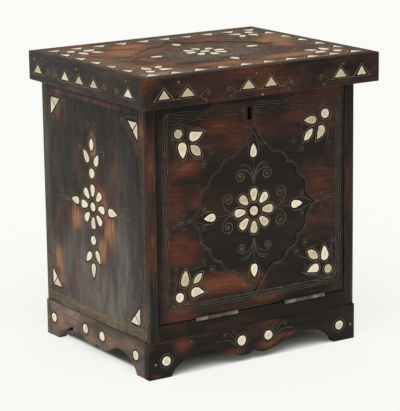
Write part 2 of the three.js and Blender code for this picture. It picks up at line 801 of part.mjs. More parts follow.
function addLock() {
  const left = keyholeX - lockWidth / 2 + leafClearance;
  const right = keyholeX + lockWidth / 2 - leafClearance;
  const bottom = fallTop - lockHeight + leafClearance;
  const face = fallInner - lockDepth;
  const rim = fallInner - lockCoverThickness;
  const boltTop = fallTop - boltTopSink;
  const boltBottom = boltTop - boltHeight;
  let lockCase = block([left, face, bottom], [right, rim, fallTop]);
  lockCase = lockCase.subtract(block([left + lockWall, face + lockWall, bottom + lockWall],
    [right - lockWall, rim + overcut, fallTop - lockWall]));
  lockCase = lockCase.subtract(block([keyholeX - mortiseHalf, mortiseLow, fallTop - lockWall - overcut],
    [keyholeX + mortiseHalf, mortiseHigh, fallTop + overcut]));
  for (const sign of [-1, 1]) {
    const near = keyholeX + sign * (boltWidth / 2 - ledgeInset);
    const far = near + sign * ledgeLength;
    lockCase = lockCase.add(block([Math.min(near, far), face, boltBottom - seatGap - ledgeThickness],
      [Math.max(near, far), rim - seatGap, boltBottom - seatGap]));
  }
  const keyhole = geometryOf(prism(keyholePoints(), -lockWall - overcut, overcut));
  keyhole.rotateX(Math.PI / 2);
  keyhole.translate(0, face, 0);
  addPart('lock_case', lockCase.subtract(solidOf(keyhole)), iron);
  addPart('lock_cover', block([left, rim, bottom], [right, fallInner, fallTop]), iron);

  const shape = new THREE.Shape();
  const half = boltWidth / 2;
  shape.moveTo(half, 0);
  shape.lineTo(half, boltHeight);
  shape.lineTo(-half, boltHeight);
  shape.lineTo(-half, 0);
  shape.lineTo(-boltTalonRadius, 0);
  shape.absarc(0, 0, boltTalonRadius, Math.PI, 0, true);
  const bolt = prism(shape.getPoints(curveSteps * 2), -boltThickness / 2, boltThickness / 2);
  addPart('lock_bolt', bolt, iron, (mesh) => {
    mesh.rotation.x = Math.PI / 2;
    mesh.position.set(keyholeX, boltMiddleY, boltBottom);
  });
  addSpring(keyholeX + half + seatGap, right - lockWall, boltTop - springDrop);
}

// A leaf spring that runs from the lock's wall in a bow to the side of the bolt.
function addSpring(boltSide, wall, level) {
  const shape = new THREE.Shape();
  const middle = (boltSide + wall) / 2;
  const low = level - springSag;
  shape.moveTo(boltSide, level);
  shape.quadraticCurveTo(middle, low, wall, level);
  shape.lineTo(wall, level + springThickness);
  shape.quadraticCurveTo(middle, low + 2 * springThickness, boltSide, level + springThickness);
  const spring = prism(shape.getPoints(curveSteps + 2), -springWidth / 2, springWidth / 2);
  addPart('lock_spring', spring, brass, (mesh) => {
    mesh.rotation.x = Math.PI / 2;
    mesh.position.y = boltMiddleY;
  });
}

function addHinges(kind, movingName, places, y, z, gap, halfTurn) {
  for (const [side, x] of Object.entries(places)) {
    const at = (mesh) => {
      mesh.rotation.z = halfTurn ? Math.PI : 0;
      mesh.position.set(x, y, z);
    };
    addPart(`${kind}_hinge_${side}_case_leaf`, hingeLeaf(false, gap), iron, at);
    addPart(`${kind}_hinge_${side}_${movingName}_leaf`, hingeLeaf(true, gap), iron, at);
    addPart(`${kind}_hinge_${side}_pin`, hingePin(), iron, at);
  }
}

addPlinth();
addCase();
addFall();
addLock();
addLid();
addHinges('fall', 'fall', fallHingePlaces, fallPinY, fallPinZ, fallBottomGap, false);
addHinges('lid', 'lid', lidHingePlaces, lidPinY, lidPinZ, seatGap, true);

export default casket;
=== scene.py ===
"""An inlaid wooden casket with a fall front, a hinged lid and a scalloped plinth.

The boards, hinges and lock come from the frame. This script gives them their finish, and lays the bone
tablets, the dark mastic round them, the brass wire scrolls and the nail heads on their faces.
Drawings on a face are in millimetres: u to the right, v up, seen from outside. Meshes are in metres.
"""

import copy
import math

import bpy
import numpy as np
from bpy.props import FloatProperty, FloatVectorProperty, PointerProperty
from mathutils import Matrix, Vector


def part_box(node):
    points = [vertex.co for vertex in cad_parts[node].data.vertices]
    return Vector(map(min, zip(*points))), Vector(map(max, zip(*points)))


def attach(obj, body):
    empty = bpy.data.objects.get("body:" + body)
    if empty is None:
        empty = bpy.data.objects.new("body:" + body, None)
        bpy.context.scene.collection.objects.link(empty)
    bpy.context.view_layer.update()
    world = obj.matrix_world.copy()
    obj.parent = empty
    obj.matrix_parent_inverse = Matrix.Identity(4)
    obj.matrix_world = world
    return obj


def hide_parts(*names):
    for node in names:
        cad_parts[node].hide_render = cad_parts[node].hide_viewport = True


bl_info = {
    "name": "Inlaid casket",
    "version": (1, 0, 0),
    "blender": (4, 5, 0),
    "location": "3D View > Sidebar > Casket",
    "description": "Boards, bone inlay, wire scrolls and stage of an inlaid wooden casket",
    "category": "Object",
}

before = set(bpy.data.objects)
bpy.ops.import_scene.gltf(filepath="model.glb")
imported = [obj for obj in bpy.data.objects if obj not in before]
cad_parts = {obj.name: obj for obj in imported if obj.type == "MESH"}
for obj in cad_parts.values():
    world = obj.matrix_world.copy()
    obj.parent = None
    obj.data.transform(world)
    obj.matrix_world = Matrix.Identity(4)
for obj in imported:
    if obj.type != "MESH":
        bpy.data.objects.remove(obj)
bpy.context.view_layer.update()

MM = 0.001
TURN = 2 * math.pi

# Sizes that the drawings share with the solids, in millimetres
INLAY_PROUD = 0.3
MEDALLION_DEPTH = 0.8
FALL_MEDALLION = (80, 92.5)
LID_MEDALLION = (92, 82)
LID_DROPS = (63, 59)
LID_SHIFT = 3.5
DISC = 5
PETAL = (13, 8.6)
PETAL_RING = 18
DROP = (15, 8.8)
HINGE_ROOM = 0.3
LEAF_LEVEL = 1.6
BARREL_ROOM = 0.4
LOCK_ROOM = 8
KEYHOLE = {"u": -4, "width": 5.5, "top": 277.8, "bottom": 263.8}

# How closely curves are drawn, and under which angle faces look smooth where they meet
CURVE_STEPS = 14
WIRE_STEP = 1.1
SMOOTH_ANGLE = math.radians(35)

# How far hand work strays: a tablet's outline by shares of its size, a wire by millimetres from its path,
# with waves of so many millimetres, and the tone of one tablet from the next
SIZE_STRAY = 0.035
OUTLINE_STRAY = (0.02, 0.018)
TONE_STRAY = 0.4
WIRE_STRAY = (0.16, 0.1)
WIRE_WAVE = 40

# The tablets' outlines: for each curve its steps and its controls, as shares of the tablet's length and
# width. A half drop is straight along its upper side, and a petal is round at +u
OUTLINES = {
    "drop": ((14, (0.5, 0), (0.15, 0.55), (-0.5, 0.75), (-0.5, 0)),
             (14, (-0.5, 0), (-0.5, -0.75), (0.15, -0.55), (0.5, 0))),
    "half": ((14, (0.5, 0.42), (-0.275, 0.42)),
             (14, (-0.275, 0.42), (-0.5, 0.42), (-0.5, -0.58), (-0.15, -0.58)),
             (14, (-0.15, -0.58), (0.175, -0.58), (0.35, -0.1), (0.5, 0.42))),
    "leaf": ((14, (0.5, 0), (0, 1), (-0.5, 0)),
             (14, (-0.5, 0), (0, -1), (0.5, 0))),
    "petal": ((14, (-0.5, -0.2), (-0.05, -0.55), (0.5, -0.75), (0.5, 0)),
              (14, (0.5, 0), (0.5, 0.75), (-0.05, 0.55), (-0.5, 0.2)),
              (4, (-0.5, 0.2), (-0.54, 0), (-0.5, -0.2))),
    "triangle": ((6, (-0.5, 0), (0.5, 0)), (6, (0.5, 0), (0, 1)), (6, (0, 1), (-0.5, 0))),
}

# The sprays, for each corner of a field: the disc's distances from the field's side and end, and the tablets
# beside it, each with its shape, its place from the disc towards the field's middle, length, width and turn
PLAIN_SPRAY = (("half", 21, 4, 16, -9, 5), ("drop", 5.7, 19, 16.5, 9.8, 90),
               ("leaf", 21.7, 19.2, 14.5, 7.6, 42))
# The curls inside a spray: start, heading, eye and radius
SPRAY_CURLS = (((-3.4, 25), 96, (-4.6, 32.2), 3.6), ((15, 27.5), 25, (30.6, 35.6), 4.0),
               ((28.5, 15.5), 40, (41.2, 25.6), 4.0))
LID_SPRAYS = {(-1, 1): (31, 39.5, PLAIN_SPRAY), (1, 1): (31, 39.5, PLAIN_SPRAY),
              (-1, -1): (31, 39, PLAIN_SPRAY), (1, -1): (31, 33.3, PLAIN_SPRAY)}
FALL_SPRAYS = {
    (-1, 1): (27, 32.6, (("half", 21, 4.2, 17, -10, 7), ("drop", 5, 18, 17, 10.4, 86),
                         ("leaf", 21.2, 19.6, 17.3, 9, 44))),
    (1, 1): (25.6, 32.2, (("drop", 20, 5, 16.5, 8.8, -3), ("half", 5.8, 19.6, 16, -9, 82),
                          ("leaf", 22.2, 20.8, 16.2, 7.2, 47))),
    (-1, -1): (26.1, 26.3, (("half", 21.4, 3, 17, -9.5, 14), ("drop", 6.9, 19.7, 17, 10.4, 84),
                            ("leaf", 22.7, 17.4, 14, 6.8, 43))),
    (1, -1): (21.1, 27.5, (("half", 19.6, 3, 16.7, -9.3, 8), ("drop", 4.8, 18.7, 16.2, 9.6, 87),
                           ("leaf", 20.7, 19.2, 17.2, 9.2, 37))),
}

# Of the stems round a rosette: turn, start and end, the spirals' eyes and radii on the left and on the
# right, and whether hooks rise over them
CURL = (16.6, 7.4)
FALL_STEMS = ((90, 30, 56, CURL, CURL, True), (270, 30, 56, (17.5, 5.8), (15.5, 6), True),
              (0, 25, 47, (17, 7.2), (13.5, 8.2), False), (180, 23.5, 46, (13.5, 8.6), (16, 7.2), False))
LID_STEMS = ((90, 27, 49, CURL, CURL, True), (270, 27, 49, CURL, CURL, True),
             (0, 28, 53, CURL, CURL, False), (180, 28, 53, CURL, CURL, False))


# Curves, as arrays of points (u, v)

def direction(angle):
    """Steps of length one at angles in radians."""
    return np.stack([np.cos(angle), np.sin(angle)], -1)


def unit(steps):
    """The same steps, each of length one."""
    return steps / np.maximum(np.linalg.norm(steps, axis=1), 1e-9)[:, None]


def bezier(*controls, steps=CURVE_STEPS):
    """A Bezier curve of any degree: each point is the sum of the controls, weighted by the Bernstein
    polynomials."""
    t = np.linspace(0, 1, steps + 1)[:, None]
    n = len(controls) - 1
    weights = [math.comb(n, k) * t**k * (1 - t) ** (n - k) for k in range(n + 1)]
    return sum(w * np.array(c, float) for w, c in zip(weights, controls))


def chained(*curves):
    """Curves joined end to end, with each shared point kept once."""
    return np.vstack([curve[:-1] for curve in curves])


def shape(kind, length, width):
    """A tablet's outline: its curves, stretched to a length and a width. A width below zero turns it over."""
    size = (length, width)
    curves = [bezier(*np.multiply(controls, size), steps=steps) for steps, *controls in OUTLINES[kind]]
    return chained(*curves)[::1 if width > 0 else -1]


def through(*points, steps=6):
    """A smooth curve through points: between two of them a cubic curve whose ends run parallel to the line
    from the point before to the point after."""
    knots = np.array(points, float)
    slopes = np.gradient(knots, axis=0) / 3
    pieces = [bezier(a, a + m, b - n, b, steps=steps)
              for a, b, m, n in zip(knots, knots[1:], slopes, slopes[1:])]
    return np.vstack([chained(*pieces), knots[-1:]])


def circle(radius, count=32):
    """Points at equal angles round the middle."""
    return radius * direction(np.arange(count) * TURN / count)


def placed(points, u, v, degrees=0.0):
    """Points turned about the middle, then moved."""
    angle = math.radians(degrees)
    return points @ np.array([direction(angle), direction(angle + TURN / 4)]) + (u, v)


def grown(outline, distance):
    """A closed outline with its edges moved outwards by a distance. A corner moves at most twice as far."""
    edge = np.roll(outline, -1, 0) - outline
    normal = unit(np.stack([edge[:, 1], -edge[:, 0]], 1))
    both = normal + np.roll(normal, 1, 0)
    return outline + distance * 2 * both / np.maximum((both**2).sum(1), 1.0)[:, None]


def resampled(path, step, closed=False):
    """Points at equal distances along a path, on the straight lines between its points."""
    points = np.vstack([path, path[:1]]) if closed else path
    length = np.concatenate([[0], np.cumsum(np.linalg.norm(np.diff(points, axis=0), axis=1))])
    at = np.linspace(0, length[-1], max(round(length[-1] / step), 3) + 1)
    even = np.stack([np.interp(at, length, along) for along in points.T], 1)
    return even[:-1] if closed else even


def scroll(start, heading, eye, radius, sense=1, turns=1.35):
    """A stem that runs into a spiral. The spiral's angle grows evenly while its radius shrinks evenly to a
    quarter. The stem is a cubic curve near a circle's arc: it reaches the spiral where the line from end to
    end lies halfway between the headings at its two ends. A sense of 1 turns to the left."""
    start, eye = np.array(start, float), np.array(eye, float)
    first, bend = math.radians(heading), 1.5
    for _ in range(40):
        last = first + sense * bend
        entry = eye + sense * radius * direction(last - TURN / 4)
        chord = sense * (math.atan2(*(entry - start)[::-1]) - first)
        bend = min(max(0.5 * bend + (chord + TURN / 4) % TURN - TURN / 4, 0.1), 4.5)
    pull = math.hypot(*(entry - start)) * 2 / 3 * math.tan(bend / 4) / math.sin(bend / 2)
    stem = bezier(start, start + pull * direction(first), entry - pull * direction(last), entry)
    turn = np.linspace(0, turns * TURN, 34)
    reach = radius * (1 - 0.75 * turn / turn[-1])
    return np.vstack([stem[:-1], eye + reach[:, None] * direction(last - sense * TURN / 4 + sense * turn)])


def medallion(u, v, half_width, half_height):
    """A lozenge with an ogee at each tip and three round lobes on each side: quadratic curves between knots
    that are shares of the half sizes, mirrored into four quarters."""
    knots = np.array([(1, 0), (0.84, 0.175), (0.7, 0.35), (0.53, 0.52), (0.31, 0.65), (0, 1)])
    knots = knots * (half_width, half_height)
    curves = []
    for start, end, bulge in zip(knots, knots[1:], (-0.1, 0.22, 0.22, 0.22, -0.06)):
        chord = end - start
        control = (start + end) / 2 + 2 * bulge * np.array([chord[1], -chord[0]])
        curves.append(bezier(start, control, end, steps=8))
    quarter = chained(*curves)
    mirrored = np.vstack([quarter[1:], knots[-1:]])[::-1] * (-1, 1)
    upper = np.vstack([quarter, mirrored])
    return np.vstack([upper, -upper]) + (u, v)


def rounded_rectangle(low_u, high_u, low_v, high_v, radius=1.0):
    """A rectangle with a quarter circle at each corner, anticlockwise."""
    corners = np.array([(high_u, high_v), (low_u, high_v), (low_u, low_v), (high_u, low_v)])
    middles = corners - radius * np.array([(1, 1), (-1, 1), (-1, -1), (1, -1)])
    angle = (np.arange(4)[:, None] + np.linspace(0, 1, 4)) * TURN / 4
    return (middles[:, None] + radius * direction(angle)).reshape(-1, 2)


def apron(half, end, height, cusp, lobe, arch, foot):
    """A board's outline whose lower edge is scalloped: a cusp in the middle, a low lobe, a high arch and a
    foot on each side, from cubic curves."""
    edge = half - foot
    lobe_pull, arch_pull = (arch[0] - lobe[0]) * 0.4, (edge - arch[0]) * 0.5
    scallops = chained(
        bezier((0, cusp), (2, cusp - 2.5), (lobe[0] / 2, lobe[1]), lobe, steps=8),
        bezier(lobe, (lobe[0] + lobe_pull, lobe[1]), (arch[0] - lobe_pull, arch[1]), arch),
        bezier(arch, (arch[0] + arch_pull, arch[1]), (edge - 3, arch[1] / 2), (edge, 0)),
    )
    right = np.vstack([scallops, [(edge, 0), (end, 0)]])
    return np.vstack([right[:0:-1] * (-1, 1), right, [(end, height), (-end, height)]])


# Surfaces, as stacks of rings of points

class Face:
    """A flat face of the casket: where its drawing's middle lies, and which ways are right, up and out."""

    def __init__(self, origin, right=(1, 0, 0), up=(0, 0, 1)):
        self.origin, self.right, self.up = (np.array(a, float) for a in (origin, right, up))
        self.out = np.cross(self.right, self.up)

    def at(self, points, height):
        """Points (u, v) at a height over the face, both in millimetres, as places in metres."""
        flat = points[..., :1] * self.right + points[..., 1:] * self.up
        return self.origin + MM * (flat + np.asarray(height, float)[..., None] * self.out)

    def sunk(self, depth):
        """The same face, so many millimetres deeper."""
        return Face(self.origin - MM * depth * self.out, self.right, self.up)

    def spots(self, rows, depth, start=(0, 0), turn=1):
        """Spots of colour, each a middle, a reach and a share, from rows of u, v, reach along u, reach along
        v and share, all with one reach inwards. They are mirrored by the turn, then moved to their start."""
        rows = np.array(rows, float)
        middles = self.at(rows[:, :2] * (turn, 1) + start, 0)
        reaches = MM * np.abs(rows[:, 2:3] * self.right + rows[:, 3:4] * self.up + depth * self.out)
        return list(zip(middles.tolist(), reaches.tolist(), rows[:, 4].tolist()))


TABLET_RINGS = np.array([1, 1, 0.985, 0.94, 0.8, 0.55, 0.3, 0.08])
LEVEL = ((1, 0, 0), (0, 1, 0))


def crowned(face, outline, root, rim, crown):
    """A crowned tablet: its wall rises from its root to its rim, and its top runs to the middle, higher by
    the crown times one less the square of the distance from the middle."""
    heights = rim + crown * (1 - TABLET_RINGS**2)
    heights[:2] = -root, 0.7 * rim
    middle = outline.mean(0)
    return face.at(middle + TABLET_RINGS[:, None, None] * (outline - middle), heights[:, None])


def strip(face, path, width, height, closed=False, root=0.25):
    """A wire laid along a path: a low half-round section carried from point to point, square to the path."""
    tangent = unit(np.roll(path, -1, 0) - np.roll(path, 1, 0) if closed else np.gradient(path, axis=0))
    left = np.stack([-tangent[:, 1], tangent[:, 0]], 1)
    across = width * np.array([0.5, 0.34, 0, -0.34, -0.5])
    rise = np.array([-root, 0.75 * height, height, 0.75 * height, -root])
    return face.at(path[:, None] + across[:, None] * left[:, None], rise)


def dome(face, u, v, radius, height, root=0.4, count=16):
    """A round nail head: circles whose radius and height follow a quarter turn."""
    turn = np.linspace(0, 0.47, 5) * math.pi
    reach = radius * np.concatenate([[1], np.cos(turn)])
    rise = np.concatenate([[-root], height * np.sin(turn)])
    return face.at(circle(1, count) * reach[:, None, None] + (u, v), rise[:, None])


def board(face, outline, thickness, radius):
    """A board with rounded edges: its outline is drawn in and lowered along a quarter circle at the back and
    at the front face."""
    turn = np.linspace(0, math.pi / 2, 4)
    inset = radius * np.concatenate([1 - np.sin(turn), (1 - np.sin(turn))[::-1]])
    level = radius * np.concatenate([1 - np.cos(turn), -(1 - np.cos(turn))[::-1]])
    heights = np.repeat([-thickness, 0.0], len(turn)) + level
    return face.at(np.stack([grown(outline, -distance) for distance in inset]), heights[:, None])


def prism(face, outline, low, high):
    """An outline carried straight from one height to another."""
    return face.at(np.stack([outline, outline]), [[low], [high]])


class Heap:
    """Gathers closed surfaces, each a stack of rings, and makes them one mesh."""

    def __init__(self):
        self.points, self.faces, self.looks, self.count = [], [], [], 0

    def add(self, rings, tone=0.5, closed=False, rims=0.0):
        """Joins each ring to the next with quads. An open stack gets a face over each end ring. The tone
        holds for the whole stack, and rims gives each ring its own value."""
        shape = rings.shape[:2]
        index = self.count + np.arange(shape[0] * shape[1]).reshape(shape)
        start, end = (index, np.roll(index, -1, 0)) if closed else (index[:-1], index[1:])
        quads = np.stack([start, np.roll(start, -1, 1), np.roll(end, -1, 1), end], -1)
        self.faces += quads.reshape(-1, 4).tolist()
        if not closed:
            self.faces += [index[0][::-1].tolist(), index[-1].tolist()]
        look = np.stack([np.full(shape, tone), np.broadcast_to(np.reshape(rims, (-1, 1)), shape)], -1)
        self.points.append(rings.reshape(-1, 3))
        self.looks.append(look.reshape(-1, 2))
        self.count += index.size

    def mesh(self, name):
        """The gathered surfaces as a mesh with tone and rim on every point, smooth where faces meet at a low
        angle."""
        mesh = bpy.data.meshes.new(name)
        mesh.from_pydata(np.concatenate(self.points), [], self.faces)
        for look, values in zip(("tone", "rim"), np.concatenate(self.looks).T):
            mesh.attributes.new(look, "FLOAT", "POINT").data.foreach_set("value", values)
        mesh.polygons.foreach_set("use_smooth", np.ones(len(mesh.polygons), bool))
        mesh.set_sharp_from_angle(angle=SMOOTH_ANGLE)
        return mesh

    def linked(self, name):
        """The gathered surfaces as an object in the scene."""
        made = bpy.data.objects.new(name, self.mesh(name))
        bpy.context.scene.collection.objects.link(made)
        return made

    def piece(self, name, material, body, slot):
        """The gathered surfaces as a piece that moves with a body."""
        made = self.linked(name)
        made.data.materials.append(material)
        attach(made, body)
        return made


def cut(piece, rings):
    """Takes the solids that the rings enclose out of a piece, and keeps the result as its mesh."""
    cutters = []
    for one in rings:
        heap = Heap()
        heap.add(one)
        cutters.append(heap.linked("cutter"))
        modifier = piece.modifiers.new("cut", "BOOLEAN")
        modifier.operation, modifier.solver, modifier.object = "DIFFERENCE", "EXACT", cutters[-1]
    bpy.context.view_layer.update()
    result = bpy.data.meshes.new_from_object(piece.evaluated_get(bpy.context.evaluated_depsgraph_get()))
    piece.modifiers.clear()
    piece.data = result
    for cutter in cutters:
        bpy.data.objects.remove(cutter)
    result.set_sharp_from_angle(angle=SMOOTH_ANGLE)


# Places read from the frame. A side is 1, 2 or 3 for x, y or z, with the sign of the way it looks

def wood_box(node, inlaid=()):
    """A node's box in millimetres, less the height of the inlay on the sides named."""
    low, high = (np.array(corner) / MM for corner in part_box(node))
    for side in inlaid:
        (low if side < 0 else high)[abs(side) - 1] -= math.copysign(INLAY_PROUD, side)
    return low, high


def face_of(node, side, inlaid=True):
    """An upright face of a node, with u = 0 at its middle and v = 0 on the table, and the node's box."""
    low, high = wood_box(node, (side,) if inlaid else ())
    axis = abs(side) - 1
    origin = (low + high) / 2
    origin[axis], origin[2] = (high if side > 0 else low)[axis], 0
    right = {-2: (1, 0, 0), 2: (-1, 0, 0), -1: (0, -1, 0), 1: (0, 1, 0)}[side]
    return Face(origin * MM, right), low, high


def hinge_rooms(kind):
    """The pockets of two hinges: for each a flat one for its leaf, and a round groove for its barrel."""
    for side in ("left", "right"):
        _, y, z = sum(wood_box(f"{kind}_hinge_{side}_pin")) / 2
        low, high = wood_box(f"{kind}_hinge_{side}_{kind}_leaf")
        start, end = low[0] - HINGE_ROOM, high[0] + HINGE_ROOM
        reach = (y, high[1] + HINGE_ROOM) if kind == "fall" else (low[1] - HINGE_ROOM, y)
        flat = rounded_rectangle(start, end, *reach, 0.05)
        yield prism(Face((0, 0, 0), *LEVEL), flat, z - LEAF_LEVEL, z + LEAF_LEVEL)
        barrel = circle((high - low)[2] / 2 + BARREL_ROOM, 20)
        yield prism(Face((0, 0, 0), (0, 1, 0)), barrel + (y, z), start, end)


# Finishes

class Value:
    """What a node gives. Sums, differences and products of values are nodes as well."""

    def __init__(self, graph, socket):
        self.graph, self.socket = graph, socket

    def __add__(self, other):
        return self.graph.math("ADD", self, other)

    def __sub__(self, other):
        return self.graph.math("SUBTRACT", self, other)

    def __rsub__(self, other):
        return self.graph.math("SUBTRACT", other, self)

    def __mul__(self, other):
        return self.graph.math("MULTIPLY", self, other)


class Graph:
    """A material and its nodes. Each call adds one node and returns the value that it gives."""

    def __init__(self, name):
        self.material = bpy.data.materials.new(name)
        self.material.use_nodes = True
        self.tree = self.material.node_tree
        self.tree.nodes.clear()

    def add(self, kind, inputs=None, out=0, **settings):
        """A node with its settings, and its inputs as numbers, colours or values."""
        node = self.tree.nodes.new(kind)
        for key, value in settings.items():
            setattr(node, key, value)
        for key, value in (inputs or {}).items():
            socket = node.inputs[key]
            if isinstance(value, Value):
                self.tree.links.new(value.socket, socket)
            else:
                socket.default_value = (*value, 1.0) if socket.type == "RGBA" else value
        return Value(self, node.outputs[out]) if node.outputs else None

    def math(self, operation, first, second=0.0):
        return self.add("ShaderNodeMath", {0: first, 1: second}, operation=operation)

    def vector(self, operation, first, second=(0.0, 0.0, 0.0)):
        out = 1 if operation == "LENGTH" else 0
        return self.add("ShaderNodeVectorMath", {0: first, 1: second}, out, operation=operation)

    def parts(self, vector):
        """The x, y and z of a vector."""
        return [self.add("ShaderNodeSeparateXYZ", {0: vector}, axis) for axis in range(3)]

    def mix(self, share, first, second, blend="MIX"):
        inputs = {0: share, 6: first, 7: second}
        return self.add("ShaderNodeMix", inputs, 2, data_type="RGBA", blend_type=blend)

    def span(self, value, low, high, to_low=0.0, to_high=1.0):
        """A value carried from one range to another, smoothly and held at the ends."""
        inputs = {0: value, 1: low, 2: high, 3: to_low, 4: to_high}
        return self.add("ShaderNodeMapRange", inputs, interpolation_type="SMOOTHSTEP")

    def noise(self, place, scale, detail=3.0, roughness=0.5, distortion=0.0):
        inputs = {"Vector": place, "Scale": scale, "Detail": detail, "Roughness": roughness}
        return self.add("ShaderNodeTexNoise", {**inputs, "Distortion": distortion})

    def object_place(self):
        return self.add("ShaderNodeTexCoord", out=3)

    def attribute(self, name):
        return self.add("ShaderNodeAttribute", out=2, attribute_name=name)

    def shifted(self, place, shift, turn=(0.0, 0.0, 0.0), scale=(1.0, 1.0, 1.0)):
        """A place moved, turned back and divided by a scale, so that large scales stretch a pattern."""
        inputs = {"Vector": place, "Location": shift, "Rotation": turn, "Scale": scale}
        return self.add("ShaderNodeMapping", inputs, vector_type="TEXTURE")

    def finish(self, base, rough, height, depth, sheen=0.5, metallic=0.0):
        """The surface shader, with its bump from a height and its constants set on its own sockets."""
        bump = self.add("ShaderNodeBump", {"Height": height, "Distance": depth, "Strength": 0.6})
        inputs = {"Base Color": base, "Roughness": rough, "Normal": bump, "Specular IOR Level": sheen,
                  "Metallic": metallic}
        self.add("ShaderNodeOutputMaterial", {"Surface": self.add("ShaderNodeBsdfPrincipled", inputs)})
        return self.material


def scaled(values, share):
    return [value * share for value in values]


def edge_distance(graph, place, low, high):
    """How far a point on a box's surface is from the nearest edge: the second smallest of its distances to
    the three pairs of sides, which is their sum less the smallest and the largest."""
    below, above = graph.vector("SUBTRACT", place, low), graph.vector("SUBTRACT", high, place)
    x, y, z = graph.parts(graph.vector("MINIMUM", below, above))
    least = graph.math("MINIMUM", graph.math("MINIMUM", x, y), z)
    most = graph.math("MAXIMUM", graph.math("MAXIMUM", x, y), z)
    return x + y + z - least - most


def wood(name, looks, box, grain, seed, warmth=0.35, light=None, streaky=0.24, tilt=0.0, spots=(), dust_and_sheen=0.0,
         dust_and_sheen_spots=(), dust_and_sheen_colour=None, wear_and_highlight=0.3, ground=None, gloss=0.5, sheen=0.12):
    """Old varnished wood. A warmth runs from near-black over brown and red to a light tone: it is the sum of
    two noises drawn out along the grain, fine streaks, and spots that add to it or take from it. Over it lie
    dark pores, a grey film in named spots that is partly dust and partly a painted sheen, and red-brown
    rubbed wood along parts of the edges that is partly real and partly a painted highlight. The ground is
    darker: it gives the axis, the level and the side of a sunk part, and a share."""
    graph = Graph(name)
    place = graph.object_place()
    tilt = (0.0, math.radians(tilt), 0.0)
    shift = scaled((0.31, 0.17, 0.23), seed)

    def drawn_out(ratio, *settings):
        scale = [ratio if axis == grain else 1.0 for axis in "xyz"]
        return graph.noise(graph.shifted(place, shift, tilt, scale), *settings)

    patches = drawn_out(2.4, 24.0, 4.0, 0.6, 0.6)
    clouds = drawn_out(1.5, 10.0, 3.0, 0.6)
    streaks = drawn_out(9.0, 330.0, 6.0, 0.7, 0.3)
    pores = graph.span(drawn_out(22.0, 1500.0, 3.0, 0.6), 0.58, 0.72, 0.0, 0.4)
    rough_edge = (patches - 0.5) * 1.8

    def spot(middle, reach, share):
        away = graph.vector("LENGTH", graph.vector("DIVIDE", graph.vector("SUBTRACT", place, middle), reach))
        return graph.span(away + rough_edge, 0.1, 1.1, share, 0.0)

    heat = patches * 2.0 + clouds * 1.4 + streaks * streaky + (warmth - 1.7 - streaky / 2)
    for one in spots:
        heat = heat + spot(*one)
    base = graph.mix(graph.span(heat, 0.0, 0.35), looks.dark, looks.brown)
    base = graph.mix(graph.span(heat, 0.3, 0.7), base, looks.red)
    base = graph.mix(graph.span(heat, 0.65, 1.2), base, light or looks.amber)
    shade = graph.span(streaks, 0.3, 0.7, 0.72, 1.2)
    base = graph.mix(1.0, base, graph.add("ShaderNodeCombineXYZ", {0: shade, 1: shade, 2: shade}), "MULTIPLY")
    base = graph.mix(pores, base, looks.dark)
    if ground:
        axis, level, side, share = ground
        blur = 0.2 * MM * side
        sunk = graph.span(graph.parts(place)[axis], level - blur, level + blur, 0.0, share)
        base = graph.mix(sunk, base, looks.dark)
    # A grey film, partly dust and partly a painted sheen.
    if dust_and_sheen or dust_and_sheen_spots:
        grey = graph.span(drawn_out(4.0, 60.0, 5.0, 0.65), 0.35, 0.75, 0.4, 1.3)
        for one in dust_and_sheen_spots:
            dust_and_sheen = spot(*one) + dust_and_sheen
        base = graph.mix(grey * graph.span(heat, 0.6, 1.1, 1.0, 0.45) * dust_and_sheen, base, dust_and_sheen_colour or looks.dust_and_sheen)
    ragged = edge_distance(graph, place, *(scaled(corner, MM) for corner in box))
    ragged = ragged + graph.noise(place, 260.0, 4.0, 0.6) * -0.0036
    # Red-brown rubbed edges: partly real, partly a painted highlight along the edges.
    edge_wear_and_highlight = graph.span(ragged, -0.0016, 0.0006, wear_and_highlight, 0.0)
    edge_wear_and_highlight = edge_wear_and_highlight * graph.span(graph.noise(place, 34.0, 3.0, 0.6), 0.42, 0.6)
    base = graph.mix(edge_wear_and_highlight, base, looks.edge_wear_and_highlight)
    rough = graph.span(streaks, 0.3, 0.7, gloss + 0.1, gloss - 0.08)
    return graph.finish(base, rough, streaks - pores * 1.2, 0.0003, sheen)


def inside_wood(name, looks, grain, seed):
    """Bare brown wood inside the casket: streaks along the grain over a plain brown, darkened with age."""
    graph = Graph(name)
    place = graph.object_place()
    scale = [9.0 if axis == grain else 1.0 for axis in "xyz"]
    stretched = graph.shifted(place, (0.1 * seed, 0.2 * seed, 0), scale=scale)
    streaks = graph.noise(stretched, 190.0, 6.0, 0.65, 0.5)
    age = graph.span(graph.noise(place, 14.0, 4.0, 0.6), 0.4, 0.7, 0.0, 0.6)
    base = graph.mix(graph.span(streaks, 0.3, 0.7), scaled(looks.plain, 0.55), looks.plain)
    base = graph.mix(age, base, scaled(looks.plain, 0.35))
    return graph.finish(base, graph.span(streaks, 0.3, 0.7, 0.6, 0.8), streaks, 0.0003)


